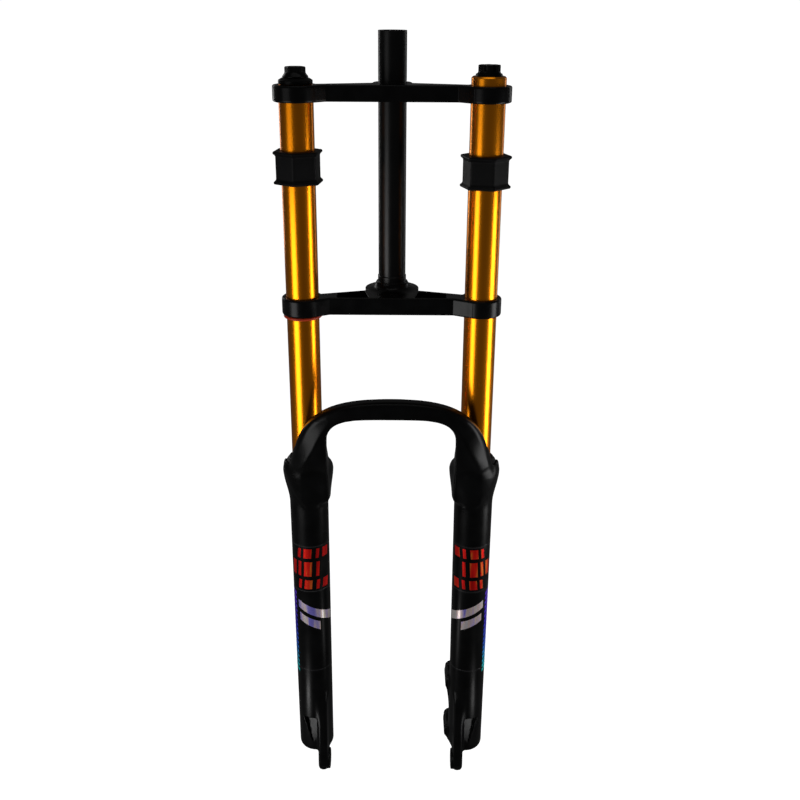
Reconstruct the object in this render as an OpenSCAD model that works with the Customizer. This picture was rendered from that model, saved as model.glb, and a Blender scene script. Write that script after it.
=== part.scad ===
// Double-crown suspension fork: steerer and two crowns, two stanchions, and one-piece lowers
// that slide on them. Origin on the steerer axis, level with the top of the lower crown.
// +Z runs up the steerer, -Y is the front of the bicycle, +X is the rider's left (brake side).

/* [Overall] */
// How far the stanchions stand in front of the steerer axis
crown_offset = 34; // [32:1:42]
// How far the wheel axle stands in front of the stanchion axes
axle_offset = 18; // [14:1:20]
// Drop from the top of the lower crown to the wheel axle
axle_drop = 595; // [580:5:640]
// Travel of the lowers up the stanchions
travel = 140; // [100:5:150]

/* [Steerer] */
// Outer diameter of the steerer
steerer_d = 28.6; // [25.4:0.1:31.8]
// Wall of the steerer
steerer_wall = 2.8; // [2:0.1:4]
// Height of the steerer above the lower crown
steerer_rise = 259; // [240:1:300]
// How far the seat for the headset's crown race stands out of the steerer
race_seat_step = 0.7; // [0.5:0.1:2]
// Height of that seat
race_seat_h = 6; // [4:0.5:10]
// How far the steerer's root stands out of the steerer, inside the lower crown
steerer_root_step = 2.2; // [2:0.1:4]

/* [Crowns] */
// Height of the lower crown
lower_crown_h = 18.5; // [16:0.5:26]
// Height of the upper crown
upper_crown_h = 16; // [14:0.5:24]
// Clear height between the two crowns
crown_gap = 194.5; // [150:0.5:210]
// Wall around each stanchion in the lower crown
lower_ring_wall = 4.5; // [4:0.1:7]
// Wall around each stanchion in the upper crown
upper_ring_wall = 5.2; // [4:0.1:7]
// How far the lower crown's deck flares out around the steerer's root
flare_reach = 12; // [4:0.5:14]
// Height of that flare
flare_h = 8; // [4:0.5:12]
// Wall around the steerer in both crowns
boss_wall = 6; // [5:0.5:9]
// Front face of the lower crown's bar, ahead of the stanchion axes
lower_bar_front = 8.5; // [2:0.5:12]
// Front face of the upper crown's bar, ahead of the stanchion axes
upper_bar_front = 3; // [0:0.5:12]
// Depth of the pockets in the lower crown's deck
pocket_depth = 10; // [4:0.5:14]
// Wall left around those pockets
pocket_wall = 3.5; // [3:0.5:5]
// Width of the clamp slits
slit_w = 2; // [1:0.5:3]
// How far the clamp ears stand out behind their rings
ear_reach = 10; // [9:0.5:14]
// Width of a pair of clamp ears across the slit
ear_width = 22; // [18:1:28]
// Thread diameter of the clamp bolts
clamp_bolt_d = 5; // [4:1:6]

/* [Stanchions] */
// Outer diameter of the stanchions
stanchion_d = 34; // [32:1:38]
// Wall of the stanchions
stanchion_wall = 2.4; // [2:0.1:3.2]
// Height of the damper-side stanchion above the upper crown
damper_side_rise = 0.6; // [0.2:0.1:8]
// Height of the air-side stanchion above the upper crown
air_side_rise = 8.5; // [2:0.5:12]

/* [Lowers] */
// Space left between the dust wipers and the lower crown at full travel
seal_margin = 24.5; // [18:0.5:40]
// Wall of each leg below its seal housing
leg_top_wall = 3.35; // [3:0.05:5]
// Wall of each leg at the foot
leg_foot_wall = 2.45; // [2:0.05:4]
// Wall of the bushings between each leg and its stanchion
bushing_wall = 1.3; // [1:0.1:2]
// Wall of the seal housings around the dust wipers
housing_wall = 6.5; // [5:0.5:8]
// Height over which a seal housing fades into its leg
housing_fade = 44.5; // [30:0.5:60]
// Height of the leg's foot above the wheel axle
foot_above_axle = 12; // [10:0.5:20]
// Height of the solid foot of each leg
foot_solid_h = 48; // [44:1:60]
// Thickness of the floor between each foot's bore and the recess under it
foot_floor = 14; // [10:0.5:20]
// Space left under the stanchion at full travel, above the bottom-out bumper
bottom_gap = 3; // [1:0.5:10]
// Height of the bottom-out bumpers
bottom_bumper_h = 8; // [4:0.5:14]

/* [Arch] */
// Drop from the lower crown's top to the top of the arch
arch_drop = 106.5; // [100:0.5:118]
// Height of the arch at its middle
arch_h = 15.5; // [13:0.5:20]
// Front face of the arch, ahead of the stanchion axes
arch_front = 42; // [38:0.5:46]
// Gap between the arch and the lower crown's rings as they pass
arch_gap = 2; // [1:0.5:3]

/* [Wheel and brake] */
// Width of the hub between the dropouts
hub_width = 150; // [142:1:150]
// Distance from each end of the hub out to the stanchion axis
leg_inset = 18; // [16:0.5:24]
// Diameter of the through axle
axle_d = 15; // [12:1:20]
// Thickness of each dropout
dropout_t = 12; // [10:0.5:13]
// How far each dropout's inner boss stands in to meet the hub
hub_boss_t = 2.5; // [1:0.5:4]
// Outer diameter of the axle eye in each dropout
axle_eye_d = 28; // [26:0.5:34]
// Distance between the two brake bolts
brake_spacing = 74.2; // [70:0.1:80]
// Thread diameter of the brake bolts
brake_bolt_d = 6; // [5:1:6]
// Drop of the brake posts' middle below the lower crown's top
brake_drop = 531; // [520:1:536]

/* [Seals and springs] */
// Radial clearance of every sliding or turning fit
fit = 0.05; // [0.02:0.01:0.09]
// Diameter of the air piston rod and the damper rod
rod_d = 10; // [9:0.5:12]
// Gap between the damper cartridge tube and its stanchion
cartridge_gap = 1.6; // [1:0.1:2.4]
// Wall of the damper cartridge tube
cartridge_wall = 1.2; // [1:0.1:2]
// Height of each bushing
bushing_h = 20; // [12:1:25]
// Thickness of the travel ring
travel_ring_t = 3.2; // [2:0.1:4]
// Rubber around the stanchion at the flats of the frame bumpers
bumper_wall = 3.25; // [3:0.25:6]
// Height of the frame bumpers
bumper_h = 32; // [20:1:45]

/* [Hidden] */
$fn = 96;

black = "#141416";
satin_black = "#1c1c1e";
rubber_black = "#232326";
gold = "#d98a1c";
steel = "#9a9ca0";
brass = "#b08d3c";
foam_grey = "#6a6a66";
red = "#c8321e";
white = "#d8d8d4";

cut = 1;                                  // overshoot of every cutting solid
leg_x = hub_width / 2 + leg_inset;
leg_y = -crown_offset;
axle_y = leg_y - axle_offset;
axle_z = -axle_drop;
stanchion_r = stanchion_d / 2;
stanchion_inner_r = stanchion_r - stanchion_wall;
sides = [-1, 1];                          // -1 is the damper side, 1 the air side

upper_crown_z = crown_gap;
upper_crown_top = upper_crown_z + upper_crown_h;
lower_ring_r = stanchion_r + lower_ring_wall;
upper_ring_r = stanchion_r + upper_ring_wall;
steerer_r = steerer_d / 2;
steerer_root_r = steerer_r + steerer_root_step;
lower_boss_r = steerer_root_r + boss_wall;
upper_boss_r = steerer_r + boss_wall;

wiper_lip_h = 7;
wiper_top = -(lower_crown_h + travel + seal_margin);
leg_top = wiper_top - wiper_lip_h;
foot_z = axle_z + foot_above_axle;
floor_z = foot_z + foot_solid_h;
stanchion_bottom = floor_z + bottom_bumper_h + bottom_gap + travel;
leg_bore_r = stanchion_r + bushing_wall;

wiper_seat_r = stanchion_r + 4.5;
wiper_flange_r = wiper_seat_r + 1.7;
housing_r = wiper_seat_r + housing_wall;
leg_top_r = leg_bore_r + leg_top_wall;
leg_foot_r = leg_bore_r + leg_foot_wall;
wiper_seat_h = 7;
foam_h = 9.5;
seal_seat_h = wiper_seat_h + foam_h + 0.5;
upper_bushing_z = leg_top - seal_seat_h - 2 - bushing_h;
lower_bushing_z = stanchion_bottom + 13;

function mirror_x(points) = [for (i = [len(points) - 1:-1:0]) [-points[i][0], points[i][1]]];
function both_sides(points) = concat(points, mirror_x(points));

// the point where a line from p touches a circle of radius r about c, on the side given by s
function touch(p, c, r, s) =
    let (d = norm(c - p), bearing = atan2(p[1] - c[1], p[0] - c[0]), half = acos(r / d))
    c + r * [cos(bearing + s * half), sin(bearing + s * half)];

module on_both_legs() {
    for (side = sides) translate([side * leg_x, leg_y, 0]) children();
}

module on_leg(side) {
    translate([side * leg_x, leg_y, 0]) children();
}

module ring(inner, outer, low, high) {
    rotate_extrude() polygon([[inner, low], [outer, low], [outer, high], [inner, high]]);
}

module round_bar_x(r, x0, x1) {
    translate([x0, 0, 0]) rotate([0, 90, 0]) cylinder(r = r, h = x1 - x0);
}

// ---- steerer and crowns ----

mark_w = 1.2;                             // insertion mark cut round the steerer above the upper crown
mark_depth = 0.2;
module steerer_tube() {
    seat = steerer_r + race_seat_step;
    seat_top = flare_h + race_seat_h;
    mark_low = upper_crown_top + 0.4;
    mark_top = mark_low + mark_w;
    color(satin_black) rotate_extrude() polygon([
        [steerer_r - steerer_wall, -lower_crown_h], [steerer_root_r, -lower_crown_h],
        [steerer_root_r, flare_h], [seat, flare_h], [seat, seat_top],
        [steerer_r, seat_top + race_seat_step], [steerer_r, mark_low],
        [steerer_r - mark_depth, mark_low], [steerer_r - mark_depth, mark_top],
        [steerer_r, mark_top], [steerer_r, steerer_rise - 0.5],
        [steerer_r - 0.5, steerer_rise], [steerer_r - steerer_wall, steerer_rise]]);
}

// plan of a crown: rings at the stanchions, a boss at the steerer, a bar with a straight front
facet_run = 29;                           // from the stanchion axis in to the end of the slanted face
rooted = 0.99;                            // corners of the bar lie this far out in their circles
module crown_plan(ring_r, boss_r, bar_front) {
    centre = [leg_x, leg_y];
    bend = [leg_x - facet_run, leg_y - bar_front];
    ring_rear = centre + rooted * ring_r * [-cos(28), sin(28)];
    boss_side = rooted * boss_r * [cos(20), -sin(20)];
    for (side = sides) translate([side * leg_x, leg_y]) circle(ring_r);
    circle(boss_r);
    polygon(both_sides([bend, touch(bend, centre, rooted * ring_r, 1), centre, ring_rear, boss_side]));
}

module clamp_ears(ring_r, z0, height) {
    translate([-ear_width / 2, ring_r * 0.7, z0])
        cube([ear_width, ring_r * 0.3 + ear_reach, height]);
}

module clamp_slit(ring_r, z0, height) {
    translate([-slit_w / 2, 0, z0 - cut]) cube([slit_w, ring_r + ear_reach + cut, height + 2 * cut]);
}

// heights of the two bolts in a clamp of the given height
function bolt_levels(z0, height) = [z0 + height * 0.25, z0 + height * 0.75];
function bolt_line(ring_r) = ring_r + ear_reach - clamp_bolt_d;
bolt_head_r = clamp_bolt_d * 0.78;
bolt_head_seat = 4;

module clamp_bolt_holes(ring_r, z0, height) {
    for (z = bolt_levels(z0, height)) translate([0, bolt_line(ring_r), z]) {
        round_bar_x(clamp_bolt_d / 2, -ear_width / 2 - cut, ear_width / 2 + cut);
        round_bar_x(bolt_head_r + 0.2, ear_width / 2 - bolt_head_seat, ear_width / 2 + cut);
    }
}

module clamp_bolts(ring_r, z0, height) {
    head_x = ear_width / 2 - bolt_head_seat;
    for (z = bolt_levels(z0, height)) translate([0, bolt_line(ring_r), z]) {
        round_bar_x(clamp_bolt_d / 2, 1 - ear_width / 2, head_x);
        difference() {
            round_bar_x(bolt_head_r, head_x, head_x + clamp_bolt_d * 0.9);
            translate([head_x + 2, 0, 0]) rotate([0, 90, 0])
                cylinder(r = clamp_bolt_d * 0.46, h = clamp_bolt_d, $fn = 6);
        }
    }
}

module deck_pocket() {
    front = leg_y - lower_bar_front + pocket_wall;
    outer_x = leg_x - facet_run - 7;
    rear_slope = (lower_boss_r * sin(20) - crown_offset + lower_ring_r * sin(28))
        / (leg_x - lower_ring_r * cos(28) - lower_boss_r * cos(20));
    rear_at = function(x) -lower_boss_r * sin(20) - pocket_wall * 1.15
        + rear_slope * (x - lower_boss_r * cos(20));
    inner_x = steerer_root_r + flare_reach + 0.5;
    translate([0, 0, -pocket_depth]) linear_extrude(pocket_depth + cut)
        polygon([[inner_x - 6, front], [outer_x, front], [outer_x, rear_at(outer_x)],
                 [inner_x, rear_at(inner_x)]]);
}

// concave flare that carries the deck up to the steerer
module deck_flare() {
    rotate_extrude() polygon(concat(
        [[0, -lower_crown_h / 2], [steerer_root_r + flare_reach, -lower_crown_h / 2]],
        [for (a = [0:15:90]) [steerer_root_r + 0.5 + (flare_reach - 0.5) * (1 - sin(a)),
                              flare_h * (1 - cos(a))]],
        [[0, flare_h]]));
}

module lower_crown() {
    color(black) difference() {
        union() {
            deck_flare();
            translate([0, 0, -lower_crown_h]) linear_extrude(lower_crown_h)
                crown_plan(lower_ring_r, lower_boss_r, lower_bar_front);
            on_both_legs() clamp_ears(lower_ring_r, -lower_crown_h, lower_crown_h);
        }
        translate([0, 0, -lower_crown_h - cut])
            cylinder(r = steerer_root_r, h = lower_crown_h + flare_h + 2 * cut);
        on_both_legs() {
            translate([0, 0, -lower_crown_h - cut])
                cylinder(r = stanchion_r, h = lower_crown_h + 2 * cut);
            clamp_slit(lower_ring_r, -lower_crown_h, lower_crown_h);
            clamp_bolt_holes(lower_ring_r, -lower_crown_h, lower_crown_h);
        }
        deck_pocket();
        mirror([1, 0, 0]) deck_pocket();
    }
}

shoulder_reach = upper_ring_r + 0.2;      // small flat shoulder on the outside of each upper ring
module upper_crown() {
    color(black) difference() {
        union() {
            translate([0, 0, upper_crown_z]) linear_extrude(upper_crown_h)
                crown_plan(upper_ring_r, upper_boss_r, upper_bar_front);
            on_both_legs() clamp_ears(upper_ring_r, upper_crown_z, upper_crown_h);
            clamp_ears(upper_boss_r, upper_crown_z, upper_crown_h);
            for (side = sides) translate([side * (leg_x + shoulder_reach - 4) - 4, leg_y - 4,
                                          upper_crown_z + 0.5])
                cube([8, 16, upper_crown_h - 1]);
        }
        translate([0, 0, upper_crown_z - cut])
            cylinder(r = steerer_r, h = upper_crown_h + 2 * cut);
        clamp_slit(upper_boss_r, upper_crown_z, upper_crown_h);
        clamp_bolt_holes(upper_boss_r, upper_crown_z, upper_crown_h);
        on_both_legs() {
            translate([0, 0, upper_crown_z - cut])
                cylinder(r = stanchion_r, h = upper_crown_h + 2 * cut);
            clamp_slit(upper_ring_r, upper_crown_z, upper_crown_h);
            clamp_bolt_holes(upper_ring_r, upper_crown_z, upper_crown_h);
        }
    }
}

module lower_crown_bolts() {
    color(steel) on_both_legs() clamp_bolts(lower_ring_r, -lower_crown_h, lower_crown_h);
}

module upper_crown_bolts() {
    color(steel) on_both_legs() clamp_bolts(upper_ring_r, upper_crown_z, upper_crown_h);
}

module steerer_clamp_bolts() {
    color(steel) clamp_bolts(upper_boss_r, upper_crown_z, upper_crown_h);
}

// ---- stanchions, their caps and their bumpers ----

damper_stanchion_top = upper_crown_top + damper_side_rise;
air_stanchion_top = upper_crown_top + air_side_rise;
circlip_t = 1.2;
circlip_bite = 0.8;                       // depth of the circlip's groove in the stanchion
circlip_z = stanchion_bottom + 3;
seal_head_z = circlip_z + circlip_t;
seal_head_h = 18;
cap_plug_h = 20;
rim_chamfer = 1.5;

module stanchion(top) {
    difference() {
        rotate_extrude() polygon([
            [stanchion_inner_r, stanchion_bottom], [stanchion_r - 0.6, stanchion_bottom],
            [stanchion_r, stanchion_bottom + 1.2], [stanchion_r, top - rim_chamfer],
            [stanchion_r - rim_chamfer, top], [stanchion_inner_r, top]]);
        translate([0, 0, circlip_z])
            cylinder(r = stanchion_inner_r + circlip_bite, h = circlip_t);
    }
}

module stanchion_damper_side() {
    color(gold) on_leg(-1) stanchion(damper_stanchion_top);
}

module stanchion_air_side() {
    color(gold) on_leg(1) stanchion(air_stanchion_top);
}

damper_flange_h = 5.4;
damper_flange_top = damper_stanchion_top + damper_flange_h;
needle_r = 3;
module damper_top_cap() {
    color(black) on_leg(-1) rotate_extrude() polygon([
        [needle_r + fit, damper_stanchion_top - cap_plug_h],
        [stanchion_inner_r, damper_stanchion_top - cap_plug_h],
        [stanchion_inner_r, damper_stanchion_top], [stanchion_r - 0.3, damper_stanchion_top],
        [stanchion_r - 0.3, damper_flange_top - 2], [stanchion_r - 3.5, damper_flange_top],
        [needle_r + fit, damper_flange_top]]);
}

knob_gap = 0.4;
knob_base_r = 12.6;
knob_top_r = 9.4;
knob_h = 10;
knob_z = damper_flange_top + knob_gap;
module compression_knob() {
    shoulder = knob_z + knob_h * 0.5;
    color(black) on_leg(-1) difference() {
        union() {
            rotate_extrude() polygon([
                [0, knob_z], [knob_base_r, knob_z], [knob_base_r, knob_z + 1],
                [knob_top_r, shoulder], [0, shoulder]]);
            translate([0, 0, knob_z]) cylinder(r = knob_top_r * 1.12, h = knob_h, $fn = 6);
        }
        translate([0, 0, knob_z - cut]) cylinder(r = needle_r, h = cut + 4);
    }
}

base_valve_z = damper_stanchion_top - cap_plug_h - 26;
base_valve_h = 14;
module compression_needle() {
    color(steel) on_leg(-1) translate([0, 0, base_valve_z + base_valve_h * 0.4])
        cylinder(r = needle_r, h = knob_z + 4 - base_valve_z - base_valve_h * 0.4);
}

valve_r = 3.9;
air_base_r = 13.5;
air_base_top = air_stanchion_top + 2.4;
module air_top_cap() {
    bottom = air_stanchion_top - cap_plug_h;
    color(black) on_leg(1) rotate_extrude() polygon([
        [valve_r, bottom], [stanchion_inner_r, bottom], [stanchion_inner_r, air_stanchion_top],
        [air_base_r, air_stanchion_top], [air_base_r - 1, air_base_top], [valve_r, air_base_top]]);
}

valve_rise = 5.5;
module air_valve() {
    bottom = air_stanchion_top - cap_plug_h - 4;
    color(brass) on_leg(1) difference() {
        translate([0, 0, bottom]) cylinder(r = valve_r, h = air_base_top + valve_rise - bottom);
        translate([0, 0, air_base_top + 1]) cylinder(r = 2.6, h = valve_rise);
    }
}

cover_r = 10.7;
cover_h = 8;
cover_notches = 8;
module air_valve_cover() {
    top = air_base_top + cover_h;
    color(black) on_leg(1) difference() {
        rotate_extrude() polygon([
            [valve_r + 0.6, air_base_top], [cover_r + 1, air_base_top],
            [cover_r, air_base_top + 1.5], [cover_r, top - 0.6], [cover_r - 0.6, top],
            [0, top], [0, air_base_top + valve_rise + 0.5],
            [valve_r + 0.6, air_base_top + valve_rise + 0.5]]);
        for (i = [0:cover_notches - 1]) rotate([0, 0, (i + 0.5) * 360 / cover_notches])
            translate([cover_r - 2.2, -1.6, air_base_top + 2.5]) cube([4, 3.2, cover_h]);
    }
}

bumper_right_z = 116.5;
bumper_left_z = 113;
module frame_bumper(bottom, turn) {
    corner_r = (stanchion_r + bumper_wall) / cos(30);
    lip = 2.4;
    color(rubber_black) difference() {
        rotate([0, 0, turn]) {
            translate([0, 0, bottom]) cylinder(r = corner_r, h = bumper_h, $fn = 6);
            for (z = [bottom, bottom + bumper_h - lip])
                translate([0, 0, z]) cylinder(r = corner_r + 2.6, h = lip, $fn = 6);
        }
        translate([0, 0, bottom - cut]) cylinder(r = stanchion_r, h = bumper_h + 2 * cut);
    }
}

module frame_bumper_right() {
    on_leg(-1) frame_bumper(bumper_right_z, 23);
}

module frame_bumper_left() {
    on_leg(1) frame_bumper(bumper_left_z, 47);
}

ring_rest_z = -lower_crown_h - 0.4 - travel_ring_t / 2;
module travel_ring() {
    color(red) on_leg(-1) translate([0, 0, ring_rest_z]) rotate_extrude()
        translate([stanchion_r + fit + travel_ring_t / 2, 0]) circle(travel_ring_t / 2, $fn = 32);
}

// ---- damper and air spring, inside the stanchions ----

cartridge_r = stanchion_inner_r - cartridge_gap;
cartridge_inner_r = cartridge_r - cartridge_wall;
cartridge_z = seal_head_z + 8;
rod_r = rod_d / 2;
module damper_cartridge() {
    color(steel) on_leg(-1)
        ring(cartridge_inner_r, cartridge_r, cartridge_z, damper_stanchion_top - cap_plug_h);
}

module damper_base_valve() {
    color(brass) on_leg(-1)
        ring(needle_r + fit, cartridge_inner_r, base_valve_z, base_valve_z + base_valve_h);
}

module damper_seal_head() {
    top = cartridge_z + seal_head_h - 8;
    color(black) on_leg(-1) rotate_extrude() polygon([
        [rod_r + fit, seal_head_z], [stanchion_inner_r, seal_head_z],
        [stanchion_inner_r, cartridge_z], [cartridge_inner_r, cartridge_z],
        [cartridge_inner_r, top], [rod_r + fit, top]]);
}

module air_seal_head() {
    color(black) on_leg(1)
        ring(rod_r + fit, stanchion_inner_r, seal_head_z, seal_head_z + seal_head_h);
}

module stanchion_circlips() {
    color(steel) on_both_legs() difference() {
        ring(stanchion_inner_r - 3, stanchion_inner_r + circlip_bite - 0.1,
             circlip_z, circlip_z + circlip_t);
        translate([-3, 0, circlip_z - cut]) cube([6, stanchion_d, circlip_t + 2 * cut]);
    }
}

topout_h = 7;
piston_gap = 1;                           // between the pistons and what stops them at full extension
module topout_bumper() {
    bottom = seal_head_z + seal_head_h;
    color(rubber_black) on_leg(1) ring(rod_r + 0.6, stanchion_inner_r - 2, bottom, bottom + topout_h);
}

air_piston_z = seal_head_z + seal_head_h + topout_h + piston_gap;
piston_h = 16;
groove_r = stanchion_inner_r - 3;
groove_h = 4;
module air_piston() {
    groove_z = air_piston_z + (piston_h - groove_h) / 2;
    color(white) on_leg(1) rotate_extrude() polygon([
        [0, air_piston_z], [stanchion_inner_r - fit, air_piston_z],
        [stanchion_inner_r - fit, groove_z], [groove_r, groove_z],
        [groove_r, groove_z + groove_h], [stanchion_inner_r - fit, groove_z + groove_h],
        [stanchion_inner_r - fit, air_piston_z + piston_h], [0, air_piston_z + piston_h]]);
}

module air_piston_seal() {
    groove_z = air_piston_z + (piston_h - groove_h) / 2;
    color(rubber_black) on_leg(1)
        ring(groove_r, stanchion_inner_r - 0.02, groove_z + 0.2, groove_z + groove_h - 0.2);
}

damper_piston_z = cartridge_z + seal_head_h - 8 + piston_gap;
damper_groove_r = cartridge_inner_r - 2;
module damper_piston() {
    groove_z = damper_piston_z + (piston_h - groove_h) / 2;
    wall = cartridge_inner_r - fit;
    color(steel) on_leg(-1) rotate_extrude() polygon([
        [0, damper_piston_z], [wall, damper_piston_z], [wall, groove_z],
        [damper_groove_r, groove_z], [damper_groove_r, groove_z + groove_h],
        [wall, groove_z + groove_h], [wall, damper_piston_z + piston_h],
        [0, damper_piston_z + piston_h]]);
}

module damper_glide_ring() {
    groove_z = damper_piston_z + (piston_h - groove_h) / 2;
    color(white) on_leg(-1)
        ring(damper_groove_r, cartridge_inner_r - 0.02, groove_z + 0.2, groove_z + groove_h - 0.2);
}

foot_thread_r = 4;
foot_thread_h = 22;
rebound_shaft_r = 1.8;
rebound_shaft_h = 60;
module leg_rod(top, shaft_bore) {
    flange_r = rod_r + 3;
    difference() {
        union() {
            translate([0, 0, floor_z]) cylinder(r = rod_r, h = top - floor_z);
            translate([0, 0, floor_z]) cylinder(r = flange_r, h = 4);
        }
        translate([0, 0, floor_z - cut]) cylinder(r = foot_thread_r, h = foot_thread_h + cut);
        translate([0, 0, floor_z]) cylinder(r = shaft_bore, h = rebound_shaft_h);
    }
}

module air_piston_rod() {
    color(steel) on_leg(1) leg_rod(air_piston_z, foot_thread_r / 2);
}

module damper_rod() {
    color(steel) on_leg(-1) leg_rod(damper_piston_z, rebound_shaft_r + fit);
}

// ---- lowers ----

foot_hole_r = foot_thread_r + 0.5;
foot_recess_r = 9;
foot_recess_h = foot_solid_h - foot_floor;
housing_wide_z = leg_top - 6.5;
foot_round = 5;

// half profile of a leg: a housing that fades into the tube as a cosine, and a rounded foot
function leg_profile() = concat(
    [[0, leg_top], [housing_r - 3.4, leg_top], [housing_r - 1, leg_top - 2.2]],
    [for (i = [0:16]) let (u = i / 16)
        [leg_top_r + (housing_r - leg_top_r) * (0.5 + 0.5 * cos(180 * u)),
         housing_wide_z - housing_fade * u]],
    [for (a = [0:15:90])
        [leg_foot_r - foot_round * (1 - cos(a)), foot_z + foot_round * (1 - sin(a))]],
    [[0, foot_z]]);

// underside of the arch: one quarter of a fourth-power oval
arch_half_w = leg_x - housing_r + 0.5;
arch_under_z = -arch_drop - arch_h;
arch_spring_z = arch_under_z - 43;
arch_under = [for (t = [84:-6:0])
    [arch_half_w * pow(cos(t), 0.5), arch_spring_z + (arch_under_z - arch_spring_z) * pow(sin(t), 0.5)]];

// top of the arch: a cubic curve from its middle down to the outside of the seal housing
arch_top_pts = [[0, -arch_drop], [leg_x * 0.774, -arch_drop],
                [leg_x * 1.02, -arch_drop - 17.5], [leg_x + 26, leg_top]];
function cubic(p, t) = pow(1 - t, 3) * p[0] + 3 * t * pow(1 - t, 2) * p[1]
    + 3 * t * t * (1 - t) * p[2] + pow(t, 3) * p[3];
arch_top = [for (i = [14:-1:1]) cubic(arch_top_pts, i / 14)];

arch_foot_z = leg_top - 26;
module arch_front_view() {
    half = concat(arch_under, [[leg_x - housing_r + 3, leg_top - 6], [leg_x - 10, arch_foot_z],
                               [leg_x + 10, arch_foot_z], [leg_x + 24, leg_top - 8]], arch_top);
    polygon(both_sides(half));
}

// the arch's front stands arch_front ahead of the legs and falls back into the seal housings
arch_fall_z = -arch_drop - 34;
function bell_r(u) = arch_front + (housing_r - 1 - arch_front) * (0.5 - 0.5 * cos(180 * u));
function bell_z(u) = arch_fall_z + (housing_wide_z - 8 - arch_fall_z) * u;
bell_profile = concat([[0, -arch_drop + cut], [arch_front - 2, -arch_drop + cut],
                       [arch_front, -arch_drop - 3]],
                      [for (i = [0:8]) [bell_r(i / 8), bell_z(i / 8)]],
                      [[housing_r - 4, arch_foot_z - cut], [0, arch_foot_z - cut]]);

module arch_depth() {
    on_both_legs() rotate_extrude() polygon(bell_profile);
    translate([-leg_x, leg_y, 0]) rotate([90, 0, 90]) linear_extrude(2 * leg_x)
        polygon([for (p = bell_profile) [-p[0], p[1]]]);
}

// clears the crown rings over the whole travel, then lets the arch run back to the legs
module arch_rear_space() {
    rear = leg_y - lower_ring_r - arch_gap;
    pass_z = -lower_crown_h - travel - 2;
    reach = leg_x + 2 * housing_r;
    far = crown_offset + reach;
    translate([-reach, 0, 0]) rotate([90, 0, 90]) linear_extrude(2 * reach)
            polygon([[rear, 0], [rear, pass_z], [leg_y, leg_top + 3], [leg_y, arch_foot_z - 2 * cut],
                     [far, arch_foot_z - 2 * cut], [far, 0]]);
}

module arch() {
    difference() {
        intersection() {
            translate([0, leg_y, 0]) rotate([90, 0, 0]) linear_extrude(arch_front + cut)
                arch_front_view();
            arch_depth();
        }
        arch_rear_space();
        on_both_legs() translate([0, 0, leg_top]) cylinder(r = wiper_flange_r + 0.5, h = travel);
    }
}

// side view of a dropout: an eye around the axle and a web up the front of the leg
dropout_rise = 97;
eye_r = axle_eye_d / 2;
dropout_outer_x = hub_width / 2 + hub_boss_t + dropout_t;
module dropout(side) {
    axle = [axle_y, axle_z];
    inner_x = hub_width / 2 + hub_boss_t;
    head = [leg_y - leg_foot_r + 2, axle_z + dropout_rise];
    rear = axle_y + rooted * eye_r;
    translate([side * hub_width / 2, axle_y, axle_z]) rotate([0, side * 90, 0])
        cylinder(r = eye_r - 1.5, h = hub_boss_t + 1);
    translate([side < 0 ? -inner_x - dropout_t : inner_x, 0, 0])
        rotate([90, 0, 90]) linear_extrude(dropout_t) {
        translate(axle) circle(eye_r);
        polygon([head, touch(head, axle, eye_r, 1), axle, [rear, axle_z], [rear, foot_z + 1],
                 [leg_y + leg_foot_r / 2, foot_z + 8], [leg_y, axle_z + dropout_rise]]);
    }
}

// a shallow wedge cut into the front of each foot beside its dropout
wedge_rise = 63.5;
wedge_h = 41;
wedge_depth = 4.6;
module foot_wedge() {
    front = leg_y - leg_foot_r - 0.3;
    translate([0, 0, axle_z + wedge_rise]) rotate([90, 0, 90]) linear_extrude(2 * leg_foot_r)
        polygon([[front - 4, 0], [front + wedge_depth, 0], [front, -wedge_h], [front - 4, -wedge_h]]);
}

post_r = 8;
post_reach = 36;                          // how far the brake posts stand behind the leg axis
post_inset = 17;                          // post axes, inboard of the leg axis
post_rises = [12, 7];                     // top of each web above its bolt, upper then lower
post_x = leg_x - post_inset;
brake_levels = [-brake_drop + brake_spacing / 2, -brake_drop - brake_spacing / 2];
post_web_drop = 34;
module brake_post(level, rise) {
    drop = min(post_web_drop, level - foot_z - 1);
    translate([post_x, leg_y, level]) rotate([-90, 0, 0]) cylinder(r = post_r, h = post_reach);
    intersection() {
        translate([0, leg_y + post_reach, 0]) rotate([90, 0, 0]) linear_extrude(post_reach)
            polygon([[leg_x, level + rise], [post_x - post_r, level + rise],
                     [post_x - post_r, level - 4], [post_x - 3, level - drop * 0.8],
                     [leg_x, level - drop]]);
        translate([post_x - 2 * post_r, leg_y, 0]) rotate([90, 0, 90]) linear_extrude(leg_x)
            polygon([[0, level + rise + cut], [post_reach - 8, level + rise + cut],
                     [post_reach - 4, level + 4], [post_reach - 4, level - 5],
                     [8, level - drop - cut], [0, level - drop - cut]]);
    }
}

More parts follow.
